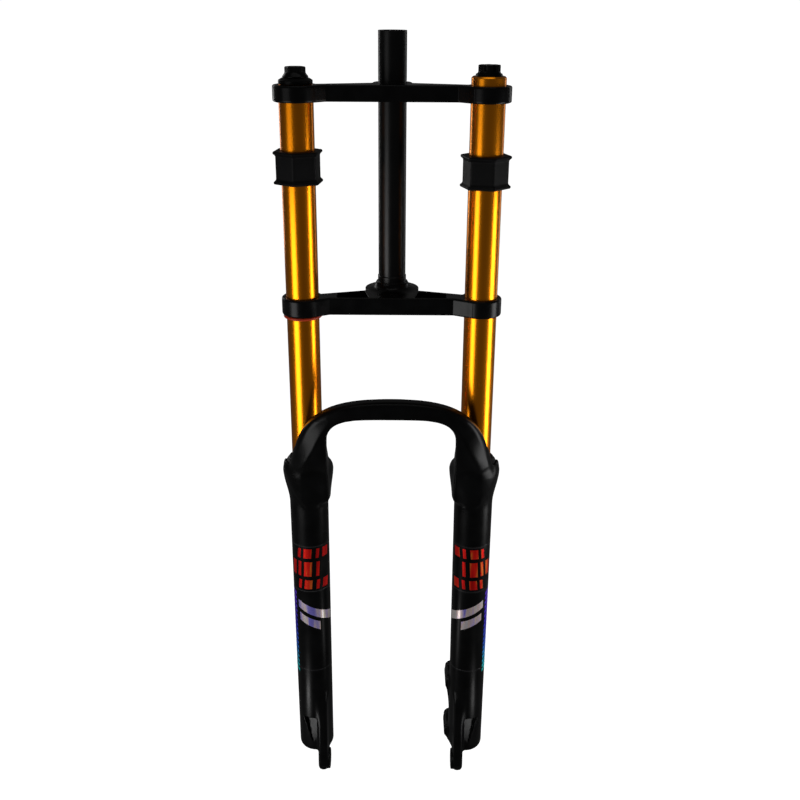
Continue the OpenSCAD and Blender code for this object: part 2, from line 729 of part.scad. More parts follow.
module lower_casting() {
    brake_bolt_depth = 18;
    color(black) difference() {
        union() {
            on_both_legs() rotate_extrude() polygon(leg_profile());
            arch();
            for (side = sides) dropout(side);
            for (i = [0, 1]) brake_post(brake_levels[i], post_rises[i]);
        }
        on_both_legs() {
            translate([0, 0, floor_z]) cylinder(r = leg_bore_r, h = leg_top - floor_z + cut);
            translate([0, 0, leg_top - seal_seat_h])
                cylinder(r = wiper_seat_r, h = seal_seat_h + cut);
            translate([0, 0, foot_z - cut]) cylinder(r = foot_hole_r, h = foot_solid_h + 2 * cut);
            translate([0, 0, foot_z - cut]) cylinder(r = foot_recess_r, h = foot_recess_h + cut);
        }
        translate([0, axle_y, axle_z]) round_bar_x(axle_d / 2, -dropout_outer_x - cut, dropout_outer_x + cut);
        translate([dropout_outer_x, 0, 0]) foot_wedge();
        mirror([1, 0, 0]) translate([dropout_outer_x, 0, 0]) foot_wedge();
        for (level = brake_levels) translate([post_x, leg_y + post_reach + cut, level])
            rotate([90, 0, 0]) cylinder(r = brake_bolt_d / 2, h = brake_bolt_depth + cut);
    }
}

spring_wire_r = 0.7;
spring_seat_r = stanchion_r + 2.4;
spring_rise = 5.4;
module dust_wipers() {
    lip_r = stanchion_r + fit;
    color(rubber_black) on_both_legs() rotate_extrude() polygon([
        [lip_r, leg_top - wiper_seat_h], [wiper_seat_r, leg_top - wiper_seat_h],
        [wiper_seat_r, leg_top], [wiper_flange_r, leg_top], [wiper_flange_r, leg_top + 2.5],
        [spring_seat_r + 1, leg_top + spring_rise - 1], [spring_seat_r, leg_top + spring_rise - 1],
        [spring_seat_r, leg_top + wiper_lip_h - 0.4],
        [spring_seat_r - 0.4, leg_top + wiper_lip_h], [lip_r, leg_top + wiper_lip_h]]);
}

module wiper_springs() {
    color(steel) on_both_legs() translate([0, 0, leg_top + spring_rise]) rotate_extrude()
        translate([spring_seat_r + spring_wire_r, 0]) circle(spring_wire_r, $fn = 24);
}

module foam_rings() {
    top = leg_top - wiper_seat_h - 0.2;
    color(foam_grey) on_both_legs() ring(stanchion_r + 0.4, wiper_seat_r, top - foam_h, top);
}

module upper_bushings() {
    color(brass) on_both_legs()
        ring(stanchion_r + fit, leg_bore_r, upper_bushing_z, upper_bushing_z + bushing_h);
}

module lower_bushings() {
    color(brass) on_both_legs()
        ring(stanchion_r + fit, leg_bore_r, lower_bushing_z, lower_bushing_z + bushing_h);
}

module bottom_bumpers() {
    color(rubber_black) on_both_legs()
        ring(rod_r + 3, stanchion_r - 1, floor_z, floor_z + bottom_bumper_h);
}

washer_h = 1;
foot_head_h = 5;
foot_head_top = foot_z + foot_recess_h - washer_h;
module foot_bolts() {
    color(black) for (side = sides) on_leg(side) difference() {
        union() {
            translate([0, 0, foot_head_top])
                cylinder(r = foot_thread_r, h = floor_z + foot_thread_h - 3 - foot_head_top);
            translate([0, 0, foot_head_top - foot_head_h])
                cylinder(r = foot_recess_r - 1.5, h = foot_head_h);
        }
        if (side < 0)
            translate([0, 0, foot_z - cut]) cylinder(r = rebound_shaft_r + fit, h = foot_solid_h + 60);
        else
            translate([0, 0, foot_head_top - foot_head_h - cut])
                cylinder(r = 3.4, h = cut + 3, $fn = 6);
    }
}

module crush_washers() {
    color(brass) on_both_legs()
        ring(foot_hole_r, foot_recess_r - 0.6, foot_head_top, foot_head_top + washer_h);
}

rebound_reach = 9;                        // how far the rebound knob stands out below the foot
rebound_knob_r = 5;
rebound_stem_top = foot_head_top - foot_head_h - 0.5;
module rebound_shaft() {
    color(steel) on_leg(-1) translate([0, 0, rebound_stem_top]) cylinder(r = rebound_shaft_r,
        h = floor_z + rebound_shaft_h * 0.8 - rebound_stem_top);
}

module rebound_knob() {
    bottom = foot_z - rebound_reach;
    head_top = foot_z + 3;
    color(red) on_leg(-1) difference() {
        rotate_extrude() polygon([
            [0, bottom], [rebound_knob_r - 0.8, bottom], [rebound_knob_r, bottom + 0.8],
            [rebound_knob_r, head_top - 1], [rebound_knob_r - 0.6, head_top],
            [rebound_knob_r - 0.6, rebound_stem_top], [0, rebound_stem_top]]);
        for (i = [0:9]) rotate([0, 0, i * 36]) translate([rebound_knob_r + 0.6, 0, bottom - cut])
            cylinder(r = 1, h = rebound_reach, $fn = 24);
    }
}

steerer_tube();
lower_crown();
upper_crown();
stanchion_damper_side();
stanchion_air_side();
damper_top_cap();
air_top_cap();
air_valve();
air_valve_cover();
compression_knob();
compression_needle();
frame_bumper_right();
frame_bumper_left();
lower_crown_bolts();
upper_crown_bolts();
steerer_clamp_bolts();
damper_cartridge();
damper_base_valve();
damper_seal_head();
air_seal_head();
stanchion_circlips();
topout_bumper();
travel_ring();
lower_casting();
dust_wipers();
wiper_springs();
foam_rings();
upper_bushings();
lower_bushings();
air_piston_rod();
air_piston();
air_piston_seal();
damper_rod();
damper_piston();
damper_glide_ring();
bottom_bumpers();
foot_bolts();
crush_washers();
rebound_shaft();
rebound_knob();
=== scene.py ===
import bmesh
import bpy
import numpy as np
from mathutils import Matrix, Vector


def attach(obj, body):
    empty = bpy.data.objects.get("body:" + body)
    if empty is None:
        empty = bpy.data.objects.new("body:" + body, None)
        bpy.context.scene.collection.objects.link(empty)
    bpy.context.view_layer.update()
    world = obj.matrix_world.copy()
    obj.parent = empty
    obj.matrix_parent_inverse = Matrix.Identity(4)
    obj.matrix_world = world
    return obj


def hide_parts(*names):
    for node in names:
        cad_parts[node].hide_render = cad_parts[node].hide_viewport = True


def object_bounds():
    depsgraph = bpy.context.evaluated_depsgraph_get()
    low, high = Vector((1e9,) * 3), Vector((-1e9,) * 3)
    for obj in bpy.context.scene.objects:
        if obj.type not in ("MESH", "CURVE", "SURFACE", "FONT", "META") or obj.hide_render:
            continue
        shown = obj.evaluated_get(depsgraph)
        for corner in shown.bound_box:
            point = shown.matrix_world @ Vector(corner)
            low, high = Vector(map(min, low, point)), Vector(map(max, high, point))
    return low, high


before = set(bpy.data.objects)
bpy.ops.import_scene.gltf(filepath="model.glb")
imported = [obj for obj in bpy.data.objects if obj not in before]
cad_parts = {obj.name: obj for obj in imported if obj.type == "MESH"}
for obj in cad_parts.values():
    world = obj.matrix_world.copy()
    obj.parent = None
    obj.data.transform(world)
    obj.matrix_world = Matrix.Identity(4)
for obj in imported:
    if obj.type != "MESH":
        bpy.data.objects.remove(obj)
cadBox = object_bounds()
print("frame loaded:", len(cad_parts), "nodes")

# every shape below is worked out in millimetres in the fork's own frame; addPiece turns it to metres
mm = 0.001

studio = {
    "cameraAt": (9.3, -1020.5, 286.8),
    "cameraPitch": 22.25,       # degrees below level
    "cameraRoll": 0.33,
    "lens": 44.1,
    "sensor": 36.0,
    "floorHalf": 30.0,          # metres
    "floorGrey": 0.30,
    "floorGlow": 1.02,
    "backGrey": 1.02,
    "roomGrey": 0.075,          # what the pieces see around them
    "lights": [                 # place, aim, width, height in mm, power in watts
        ("key", (-580, -545, -295), (0, -40, -295), 420, 530, 2.7),
        ("keyHigh", (-580, -545, 150), (0, -40, 150), 420, 340, 0.26),
        ("fill", (620, -160, -260), (0, -40, -260), 250, 540, 2.4),
        ("top", (0, -150, 900), (0, -40, 0), 700, 260, 0.45),
        ("backLeft", (-700, 800, 200), (0, 0, -150), 200, 900, 1.3),
        ("backRight", (800, 650, 100), (0, 0, -150), 200, 900, 0.6),
        ("footLeft", (-180, -136, -590), (-100, -45, -545), 40, 30, 0.055),
        ("footRight", (179, -137, -590), (100, -45, -545), 40, 30, 0.032),
    ],
}

fork = {                        # places and radii that several pieces share
    "legX": 93.0, "legY": -34.0, "axleY": -52.0, "axleZ": -595.0,
    "stanchionR": 17.0, "stanchionInnerR": 14.6, "stanchionBottom": -384.0,
    "damperTop": 211.1, "airTop": 219.0,
    "legTop": -190.0, "footZ": -583.0, "floorZ": -535.0,
}
legX = fork["legX"]
legY = fork["legY"]


def makeCamera():
    # looks along +Y, pitched down, then rolled about its own line of sight
    pitch = np.radians(studio["cameraPitch"])
    roll = np.radians(studio["cameraRoll"])
    ahead = np.array([0.0, np.cos(pitch), -np.sin(pitch)])
    right = np.array([1.0, 0.0, 0.0])
    up = np.cross(right, ahead)
    turnedRight = right * np.cos(roll) + up * np.sin(roll)
    turnedUp = up * np.cos(roll) - right * np.sin(roll)
    data = bpy.data.cameras.new("camera")
    data.lens = studio["lens"]
    data.sensor_width = studio["sensor"]
    data.clip_end = 60
    camera = bpy.data.objects.new("camera", data)
    place = Matrix.Identity(4)
    for column, axis in enumerate((turnedRight, turnedUp, -ahead)):
        for row in range(3):
            place[row][column] = axis[row]
    for row in range(3):
        place[row][3] = studio["cameraAt"][row] * mm
    camera.matrix_world = place
    bpy.context.scene.collection.objects.link(camera)
    bpy.context.scene.camera = camera


def makeLights():
    # rectangular lamps, each turned to its aim point and unseen by the camera
    for name, at, aim, width, height, power in studio["lights"]:
        data = bpy.data.lights.new(name, "AREA")
        data.shape = "RECTANGLE"
        data.size = width * mm
        data.size_y = height * mm
        data.energy = power
        lamp = bpy.data.objects.new(name, data)
        lamp.location = Vector(at) * mm
        lamp.rotation_euler = (Vector(aim) - Vector(at)).to_track_quat("-Z", "Y").to_euler()
        lamp.visible_camera = False
        bpy.context.scene.collection.objects.link(lamp)


def makeWorld():
    # pale behind everything for the camera, dim for what the pieces reflect
    world = bpy.data.worlds.new("room")
    bpy.context.scene.world = world
    world.use_nodes = True
    tree = world.node_tree
    tree.nodes.clear()
    out = tree.nodes.new("ShaderNodeOutputWorld")
    mix = tree.nodes.new("ShaderNodeMixShader")
    dim = tree.nodes.new("ShaderNodeBackground")
    pale = tree.nodes.new("ShaderNodeBackground")
    path = tree.nodes.new("ShaderNodeLightPath")
    dim.inputs["Color"].default_value = (studio["roomGrey"],) * 3 + (1,)
    pale.inputs["Color"].default_value = (studio["backGrey"],) * 3 + (1,)
    tree.links.new(path.outputs["Is Camera Ray"], mix.inputs[0])
    tree.links.new(dim.outputs[0], mix.inputs[1])
    tree.links.new(pale.outputs[0], mix.inputs[2])
    tree.links.new(mix.outputs[0], out.inputs["Surface"])


def makeFloor():
    # one wide face level with the model's lowest point, glowing so that it stays pale
    size, low = studio["floorHalf"], cadBox[0][2]
    mesh = bpy.data.meshes.new("floor")
    mesh.from_pydata([(-size, -size, low), (size, -size, low), (size, size, low), (-size, size, low)],
                     [], [(0, 1, 2, 3)])
    floor = bpy.data.objects.new("floor", mesh)
    bpy.context.scene.collection.objects.link(floor)
    material = bpy.data.materials.new("paleFloor")
    material.use_nodes = True
    shader = material.node_tree.nodes["Principled BSDF"]
    shader.inputs["Base Color"].default_value = (studio["floorGrey"],) * 3 + (1,)
    shader.inputs["Roughness"].default_value = 0.9
    shader.inputs["Specular IOR Level"].default_value = 0.1
    shader.inputs["Emission Color"].default_value = (1, 1, 1, 1)
    shader.inputs["Emission Strength"].default_value = studio["floorGlow"]
    mesh.materials.append(material)
    floor.visible_glossy = False
    floor.visible_diffuse = False


makeCamera()
makeLights()
makeWorld()
makeFloor()
bpy.context.scene.view_settings.view_transform = "Standard"
print("camera, light and floor made")


def newMaterial(name, roughness, metallic=0.0, specular=0.5):
    material = bpy.data.materials.new(name)
    material.use_nodes = True
    shader = material.node_tree.nodes["Principled BSDF"]
    values = {"Roughness": roughness, "Metallic": metallic, "Specular IOR Level": specular}
    for socket, value in values.items():
        shader.inputs[socket].default_value = value
    return material, material.node_tree, shader


def noise(tree, scale, detail=3.0, stretch=(1, 1, 1), distortion=0.0):
    # a cloud pattern in the piece's own space, scale in cells per metre
    place = tree.nodes.new("ShaderNodeTexCoord")
    mapping = tree.nodes.new("ShaderNodeMapping")
    node = tree.nodes.new("ShaderNodeTexNoise")
    mapping.inputs["Scale"].default_value = stretch
    node.inputs["Scale"].default_value = scale
    node.inputs["Detail"].default_value = detail
    node.inputs["Distortion"].default_value = distortion
    tree.links.new(place.outputs["Object"], mapping.inputs["Vector"])
    tree.links.new(mapping.outputs["Vector"], node.inputs["Vector"])
    return node.outputs["Fac"]


def ramp(tree, fac, stops):
    # a value turned into a colour through (position, colour) stops
    node = tree.nodes.new("ShaderNodeValToRGB")
    elements = node.color_ramp.elements
    while len(elements) < len(stops):
        elements.new(0.5)
    for element, (at, colour) in zip(elements, stops):
        element.position = at
        element.color = tuple(colour) + (1,)
    tree.links.new(fac, node.inputs["Fac"])
    return node.outputs["Color"]


def ranged(tree, fac, low, high, fromLow=0.3, fromHigh=0.7):
    # a value moved in a straight line from one range to another
    node = tree.nodes.new("ShaderNodeMapRange")
    values = {"From Min": fromLow, "From Max": fromHigh, "To Min": low, "To Max": high}
    for socket, value in values.items():
        node.inputs[socket].default_value = value
    tree.links.new(fac, node.inputs["Value"])
    return node.outputs["Result"]


def bump(tree, shader, height, strength, distance):
    node = tree.nodes.new("ShaderNodeBump")
    node.inputs["Strength"].default_value = strength
    node.inputs["Distance"].default_value = distance
    tree.links.new(height, node.inputs["Height"])
    tree.links.new(node.outputs["Normal"], shader.inputs["Normal"])


# colour low and high, roughness low and high, grain per metre, grain height in metres, metallic,
# specular
finishes = {
    "castBlack": ((0.0012, 0.0012, 0.0013), (0.0024, 0.0024, 0.0026), 0.27, 0.34, 1500, 2.0e-5, 0.0, 0.13),
    "crownBlack": ((0.0012, 0.0012, 0.0013), (0.0026, 0.0026, 0.0028), 0.24, 0.31, 1800, 1.5e-5, 0.0, 0.16),
    "steererBlack": ((0.0010, 0.0010, 0.0011), (0.0020, 0.0020, 0.0021), 0.28, 0.34, 1500, 1.5e-5, 0.0, 0.26),
    "capBlack": ((0.0020, 0.0020, 0.0021), (0.0040, 0.0040, 0.0042), 0.26, 0.33, 2200, 1.2e-5, 0.0, 0.10),
    "bumperRubber": ((0.0020, 0.0020, 0.0022), (0.0042, 0.0042, 0.0046), 0.46, 0.54, 900, 4e-5, 0.0, 0.13),
    "sealRubber": ((0.0016, 0.0016, 0.0017), (0.0034, 0.0034, 0.0036), 0.45, 0.56, 1200, 3e-5, 0.0, 0.15),
    "ringRubber": ((0.42, 0.030, 0.008), (0.60, 0.055, 0.014), 0.40, 0.52, 1600, 2e-5, 0.0, 0.4),
    "boltSteel": ((0.030, 0.030, 0.032), (0.075, 0.075, 0.078), 0.26, 0.38, 2600, 1e-5, 1.0, 0.5),
    "brightSteel": ((0.42, 0.42, 0.43), (0.60, 0.60, 0.61), 0.16, 0.26, 3000, 8e-6, 1.0, 0.5),
    "bearingBronze": ((0.36, 0.22, 0.08), (0.52, 0.33, 0.13), 0.26, 0.40, 2400, 1e-5, 1.0, 0.5),
    "oiledFoam": ((0.09, 0.085, 0.075), (0.20, 0.19, 0.17), 0.80, 0.95, 700, 3e-4, 0.0, 0.3),
    "whitePlastic": ((0.62, 0.62, 0.60), (0.78, 0.78, 0.75), 0.36, 0.46, 1500, 1.5e-5, 0.0, 0.5),
    "reboundRed": ((0.42, 0.012, 0.010), (0.58, 0.026, 0.018), 0.24, 0.34, 2200, 1e-5, 0.7, 0.5),
    "dullFilm": ((0.018, 0.018, 0.020), (0.034, 0.034, 0.036), 0.18, 0.24, 1600, 6e-6, 0.0, 0.4),
}
finishOfSlot = {
    "black_anodised": "capBlack", "cast_black": "castBlack", "gold_anodised": "goldAnodised",
    "black_steerer": "steererBlack", "bumper_rubber": "bumperRubber", "seal_rubber": "sealRubber",
    "ring_rubber": "ringRubber", "bolt_steel": "boltSteel", "bright_steel": "brightSteel",
    "bearing_bronze": "bearingBronze", "foam": "oiledFoam", "white_plastic": "whitePlastic",
    "rebound_red": "reboundRed",
}


def makeFinish(name):
    # broad clouds move the colour and the roughness a little, and a fine grain gives the surface its tooth
    low, high, roughLow, roughHigh, grain, height, metallic, specular = finishes[name]
    material, tree, shader = newMaterial(name, roughLow, metallic, specular)
    broad = noise(tree, grain / 28, 4)
    tree.links.new(ramp(tree, broad, [(0.35, low), (0.68, high)]), shader.inputs["Base Color"])
    tree.links.new(ranged(tree, broad, roughLow, roughHigh), shader.inputs["Roughness"])
    bump(tree, shader, noise(tree, grain, 2), 0.35, height)
    return material


def makeGold():
    # polished tube: clouds drawn out along its length, with wider smears in the roughness
    material, tree, shader = newMaterial("goldAnodised", 0.2, 1.0)
    broad = noise(tree, 9, 3, (1, 1, 0.25))
    smears = noise(tree, 26, 2, (1, 1, 0.4))
    tree.links.new(ramp(tree, broad, [(0.30, (0.90, 0.265, 0.005)), (0.70, (0.97, 0.310, 0.009))]),
                   shader.inputs["Base Color"])
    tree.links.new(ranged(tree, smears, 0.255, 0.275), shader.inputs["Roughness"])
    return material


def makeFoil(name, stops, gloss, stretch, scale):
    # a metal film whose colour changes in tall waves; in the red foil the orange band of these waves is a
    # painted highlight, streaks of light painted into its colour
    material, tree, shader = newMaterial(name, gloss, 0.75)
    waves = noise(tree, scale, 3, stretch, 0.6)
    grain = noise(tree, 2600, 2)
    tree.links.new(ramp(tree, waves, stops), shader.inputs["Base Color"])
    tree.links.new(ranged(tree, grain, gloss, gloss + 0.12), shader.inputs["Roughness"])
    bump(tree, shader, grain, 0.2, 6e-6)
    return material


def makeTallFoil(name, stops, low, high):
    # a foil whose colour runs with height, in metres
    material, tree, shader = newMaterial(name, 0.3, 0.5)
    place = tree.nodes.new("ShaderNodeTexCoord")
    parts = tree.nodes.new("ShaderNodeSeparateXYZ")
    tree.links.new(place.outputs["Object"], parts.inputs["Vector"])
    rise = ranged(tree, parts.outputs["Z"], 0, 1, low, high)
    tree.links.new(ramp(tree, rise, stops), shader.inputs["Base Color"])
    tree.links.new(ranged(tree, noise(tree, 900, 2), 0.28, 0.38), shader.inputs["Roughness"])
    return material


materials = {name: makeFinish(name) for name in finishes}
materials["goldAnodised"] = makeGold()
# red foil: deep reds are the foil's own tone, and the orange-to-yellow stop paints bright highlight streaks
# into the colour
materials["redFoilAndSheen"] = makeFoil("redFoilAndSheen", [
    (0.36, (0.62, 0.004, 0.003)), (0.50, (0.98, 0.010, 0.007)), (0.58, (1.00, 0.035, 0.010)),
    (0.64, (1.00, 0.22, 0.03)), (0.70, (0.90, 0.012, 0.008))], 0.30, (1.6, 1, 0.12), 90)
materials["silverFoil"] = makeFoil("silverFoil", [
    (0.34, (0.34, 0.30, 0.98)), (0.44, (0.80, 0.66, 1.00)), (0.50, (1.00, 0.80, 0.72)),
    (0.57, (0.92, 0.88, 0.95)), (0.66, (1.00, 0.86, 0.50))], 0.26, (1.6, 1, 0.12), 75)
materials["blueFoil"] = makeTallFoil("blueFoil", [
    (0.05, (0.01, 0.80, 0.75)), (0.35, (0.02, 0.16, 0.95)), (0.60, (0.05, 0.03, 0.85)),
    (0.95, (0.16, 0.05, 0.95))], -0.470, -0.350)
print("materials made:", len(materials))

# the CAD nodes that stay in view take the same finishes, by the name of each material slot
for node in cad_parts.values():
    for place in node.material_slots:
        key = place.material.name.split(".")[0] if place.material else ""
        if key in finishOfSlot:
            place.material = materials[finishOfSlot[key]]


def addPiece(name, points, faces, body, finish, replaced=(), normals=None):
    # points in millimetres become a mesh in metres, with its finish, body and replaced nodes
    mesh = bpy.data.meshes.new(name)
    mesh.from_pydata((np.asarray(points, float) * mm).tolist(), [], faces)
    mesh.update()
    mesh.shade_smooth()
    if normals is not None:
        mesh.normals_split_custom_set_from_vertices(normals.tolist())
    piece = bpy.data.objects.new(name, mesh)
    bpy.context.scene.collection.objects.link(piece)
    mesh.materials.append(materials[finish])
    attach(piece, body)
    if replaced:
        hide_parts(*replaced)
    return piece


def smoothMin(a, b, k):
    # the lower of two fields, with their meeting rounded over a width k
    h = np.clip(0.5 + 0.5 * (b - a) / k, 0, 1)
    return b + (a - b) * h - k * h * (1 - h)


def smoothMax(a, b, k):
    # the higher of two fields, rounded in the same way
    return -smoothMin(-a, -b, k)


def fieldGradient(field, p):
    # slope of a field at points p, from small steps each way along each axis
    step = 0.05
    slope = np.empty_like(p)
    for axis in range(3):
        shift = np.zeros(3)
        shift[axis] = step
        a, b = p + shift, p - shift
        slope[:, axis] = (field(*a.T) - field(*b.T)) / (2 * step)
    return slope


def netOfField(field, xs, ys, zs):
    # the surface where a field is zero: one point in every grid cell that the surface passes through,
    # and one face across every grid edge whose two ends lie on opposite sides of it
    d = field(xs[:, None, None], ys[None, :, None], zs[None, None, :])
    d = np.broadcast_to(d, (len(xs), len(ys), len(zs))).astype(np.float32)
    inside = d < 0
    cells = tuple(n - 1 for n in d.shape)
    total = np.zeros(cells + (3,))
    count = np.zeros(cells)
    grids = (xs, ys, zs)
    edges = []
    for axis in range(3):
        low = [slice(None)] * 3
        high = [slice(None)] * 3
        low[axis], high[axis] = slice(None, -1), slice(1, None)
        cross = np.argwhere(inside[tuple(low)] != inside[tuple(high)])
        other = cross.copy()
        other[:, axis] += 1
        a, b = d[tuple(cross.T)], d[tuple(other.T)]
        t = a / (a - b)
        at = np.stack([grids[k][cross[:, k]] for k in range(3)], 1).astype(float)
        at[:, axis] += t * (grids[axis][other[:, axis]] - grids[axis][cross[:, axis]])
        u, v = (axis + 1) % 3, (axis + 2) % 3
        around = []
        for du, dv in ((-1, -1), (0, -1), (0, 0), (-1, 0)):
            cell = cross.copy()
            cell[:, u] += du
            cell[:, v] += dv
            around.append(cell)
            np.add.at(total, tuple(cell.T), at)
            np.add.at(count, tuple(cell.T), 1)
        edges.append((around, inside[tuple(cross.T)]))
    used = count > 0
    index = np.full(cells, -1)
    index[used] = np.arange(used.sum())
    points = total[used] / count[used][:, None]
    quads = []
    for around, startsInside in edges:
        quad = np.stack([index[tuple(c.T)] for c in around], 1)
        quad[~startsInside] = quad[~startsInside][:, ::-1]
        quads.append(quad)
    quads = np.concatenate(quads)
    for _ in range(2):
        # draw each point to the middle of its neighbours, then put it back on the surface
        mean = np.zeros_like(points)
        near = np.zeros(len(points))
        for a, b in ((0, 1), (1, 2), (2, 3), (3, 0)):
            np.add.at(mean, quads[:, a], points[quads[:, b]])
            np.add.at(near, quads[:, a], 1)
            np.add.at(mean, quads[:, b], points[quads[:, a]])
            np.add.at(near, quads[:, b], 1)
        points = 0.5 * points + 0.5 * mean / near[:, None]
        for _ in range(2):
            slope = fieldGradient(field, points)
            value = field(points[:, 0], points[:, 1], points[:, 2])
            move = slope * (value / np.maximum((slope ** 2).sum(1), 0.04))[:, None]
            points = points - np.clip(move, -1.0, 1.0)
    slope = fieldGradient(field, points)
    normals = slope / np.maximum(np.linalg.norm(slope, axis=1), 1e-6)[:, None]
    return points, quads, normals


def fieldPiece(name, field, xs, ys, zs, body, finish, replaced=()):
    # a piece from a field, netted on the grid lines xs, ys and zs
    points, quads, normals = netOfField(field, xs, ys, zs)
    piece = addPiece(name, points, quads.tolist(), body, finish, replaced, normals)
    print(name, "made:", len(quads), "faces")
    return piece


def steps(*runs):
    # grid lines from a list of (end, spacing) runs after a start value
    start, lines = runs[0], [runs[0]]
    for end, spacing in runs[1:]:
        n = max(1, round(abs(end - start) / spacing))
        lines += list(start + (end - start) * (np.arange(n) + 1) / n)
        start = end
    return np.array(lines, float)


def roundedProfile(corners, arc=5):
    # corners are (r, z, radius): each corner of the line is swapped for an arc that touches both its sides
    pts = np.array([c[:2] for c in corners], float)
    out = []
    for i, (r, z, radius) in enumerate(corners):
        here = pts[i]
        if radius <= 0:
            out.append(here)
            continue
        a, b = pts[i - 1] - here, pts[(i + 1) % len(pts)] - here
        la, lb = np.linalg.norm(a), np.linalg.norm(b)
        a, b = a / la, b / lb
        half = np.arccos(np.clip(a @ b, -1, 1)) / 2
        back = min(radius / np.tan(half), 0.45 * la, 0.45 * lb)
        middle = here + (a + b) / np.linalg.norm(a + b) * back / np.cos(half)
        p, q = here + a * back - middle, here + b * back - middle
        reach = np.linalg.norm(p)
        for t in np.linspace(0, 1, arc):
            mix = p * (1 - t) + q * t
            out.append(middle + mix / np.linalg.norm(mix) * reach)
    return np.array(out)


def lathe(profile, centre, around=96):
    # a closed line of (r, z) points carried round an upright axis
    angle = np.linspace(0, 2 * np.pi, around, endpoint=False)
    r, z = profile[:, 0], profile[:, 1]
    x = centre[0] + r[None, :] * np.cos(angle)[:, None]
    y = centre[1] + r[None, :] * np.sin(angle)[:, None]
    points = np.stack([x, y, np.broadcast_to(z, x.shape)], 2).reshape(-1, 3)
    n, m = around, len(profile)
    i, j = np.meshgrid(np.arange(n), np.arange(m), indexing="ij")
    i2, j2 = (i + 1) % n, (j + 1) % m
    quads = np.stack([i * m + j, i2 * m + j, i2 * m + j2, i * m + j2], 2)
    return points, quads.reshape(-1, 4)


def signedArea(profile):
    # above nought when the closed line runs anticlockwise
    r, z = profile[:, 0], profile[:, 1]
    return 0.5 * np.sum(r * np.roll(z, -1) - np.roll(r, -1) * z)


def latheParts(parts, around=96):
    # several lathed rings as one mesh; each is (corners, centre)
    points, quads, count = [], [], 0
    for corners, centre in parts:
        profile = roundedProfile(corners)
        if signedArea(profile) < 0:
            profile = profile[::-1]
        p, q = lathe(profile, centre, around)
        points.append(p)
        quads.append(q + count)
        count += len(p)
    return np.concatenate(points), np.concatenate(quads)


def lathePiece(name, parts, body, finish, replaced=(), around=96):
    # a piece from lathed rings, its flat faces kept flat by weighted normals
    points, quads = latheParts(parts, around)
    piece = addPiece(name, points, quads.tolist(), body, finish, replaced)
    edges = piece.modifiers.new("edges", "WEIGHTED_NORMAL")
    edges.keep_sharp = True
    print(name, "made:", len(quads), "faces")
    return piece


def bothLegs(corners):
    # the same ring on each leg's axis
    return [(corners, (-legX, legY)), (corners, (legX, legY))]


def polygonField(x, y, corners):
    # distance in plan to a polygon's edge, below nought inside it
    near, inside = None, False
    for (x0, y0), (x1, y1) in zip(corners, corners[1:] + corners[:1]):
        ex, ey = x1 - x0, y1 - y0
        t = np.clip(((x - x0) * ex + (y - y0) * ey) / (ex * ex + ey * ey), 0, 1)
        far = np.hypot(x - x0 - t * ex, y - y0 - t * ey)
        near = far if near is None else np.minimum(near, far)
        left = ex * (y - y0) > ey * (x - x0)
        inside = inside ^ (((y >= y0) & (y < y1) & left) | ((y < y0) & (y >= y1) & ~left))
    return np.where(inside, -near, near)


leg = {
    "topR": 21.65, "footR": 20.75, "taperLength": 342.0, "footRound": 7.0,
    "housingR": 28.0, "housingWideZ": -196.5, "housingFade": 44.5,
    "chamferR": 24.4, "chamferWay": (0.857, 0.514), "wiperR": 23.7,
    "boreR": 18.3, "seatR": 21.5, "seatDeep": 17.0, "boltR": 4.5, "knobR": 9.0, "knobTop": -549.0,
}
arch = {
    "front": -76.0, "topZ": -105.2, "underZ": -123.8, "halfWide": 69.5, "springZ": -165.0,
    "facetZ": -126, "facetRun": 44,                     # where the front faces begin to steepen
    "leanZ": -150, "leanRun": 82, "leanBack": 20.5,     # where the front leans back to the legs
    "rear": -57.5, "rearZ": -160.5, "rearRun": 26.5, "rearBack": 23.5,
    "skirtX": 118.0, "skirtZ": -190.0, "footZ": -234.0,
}
dropout = {
    "inner": 77.5, "outer": 89.5, "top": -498.0, "topY": -52.75, "footY": -66.0, "rearY": -38.2,
    "hubFace": 75.0, "bossR": 12.5, "eyeR": 14.0, "axleR": 7.5, "thinZ": -596.0, "thinBy": 1.8,
}
pocket = {                      # three-sided, in the front of each foot, outboard of the blade
    "top": -531.5, "foot": -572.5, "deep": 7.0, "facing": 20.0, "wideTop": 13.2, "wideFoot": 1.5,
    "fromBlade": 1.0,
}
post = {
    "x": 76.0, "r": 8.0, "rear": 2.0, "boltR": 3.0, "boltDeep": 18.0,
    "levels": (-493.9, -568.1), "webRises": (12.0, 7.0), "webDrop": 34.0, "webFoot": -582.0,
    "webRear": -6.0, "webFloor": 3.0,
}


def curveLine(controls, count):
    # points along a cubic curve with four control points
    t = np.linspace(0, 1, count)[:, None]
    p = np.array(controls, float)
    return (1 - t) ** 3 * p[0] + 3 * t * (1 - t) ** 2 * p[1] + 3 * t * t * (1 - t) * p[2] + t ** 3 * p[3]


archTopLine = curveLine([(0, arch["topZ"]), (76, arch["topZ"]), (99, -124), (112.5, -190)], 60)
crestLine = [(-40, -119.5), (0, -119.5), (38, -120.5), (50, -122), (64.8, -125.9), (72, -137),
             (79, -149), (91.4, -175), (96, -186), (99, -200), (100, -240)]


def offCrest(u, z):
    # distance in the front view from the crest line, above nought on its outer side
    best = None
    for (x0, z0), (x1, z1) in zip(crestLine[:-1], crestLine[1:]):
        ex, ez = x1 - x0, z1 - z0
        t = np.clip(((u - x0) * ex + (z - z0) * ez) / (ex * ex + ez * ez), 0, 1)
        dx, dz = u - x0 - t * ex, z - z0 - t * ez
        side = np.sign(ex * dz - ez * dx)
        far = np.hypot(dx, dz)
        if best is None:
            best, sign = far, side
        else:
            nearer = far < best
            best = np.where(nearer, far, best)
            sign = np.where(nearer, side, sign)
    return best * sign


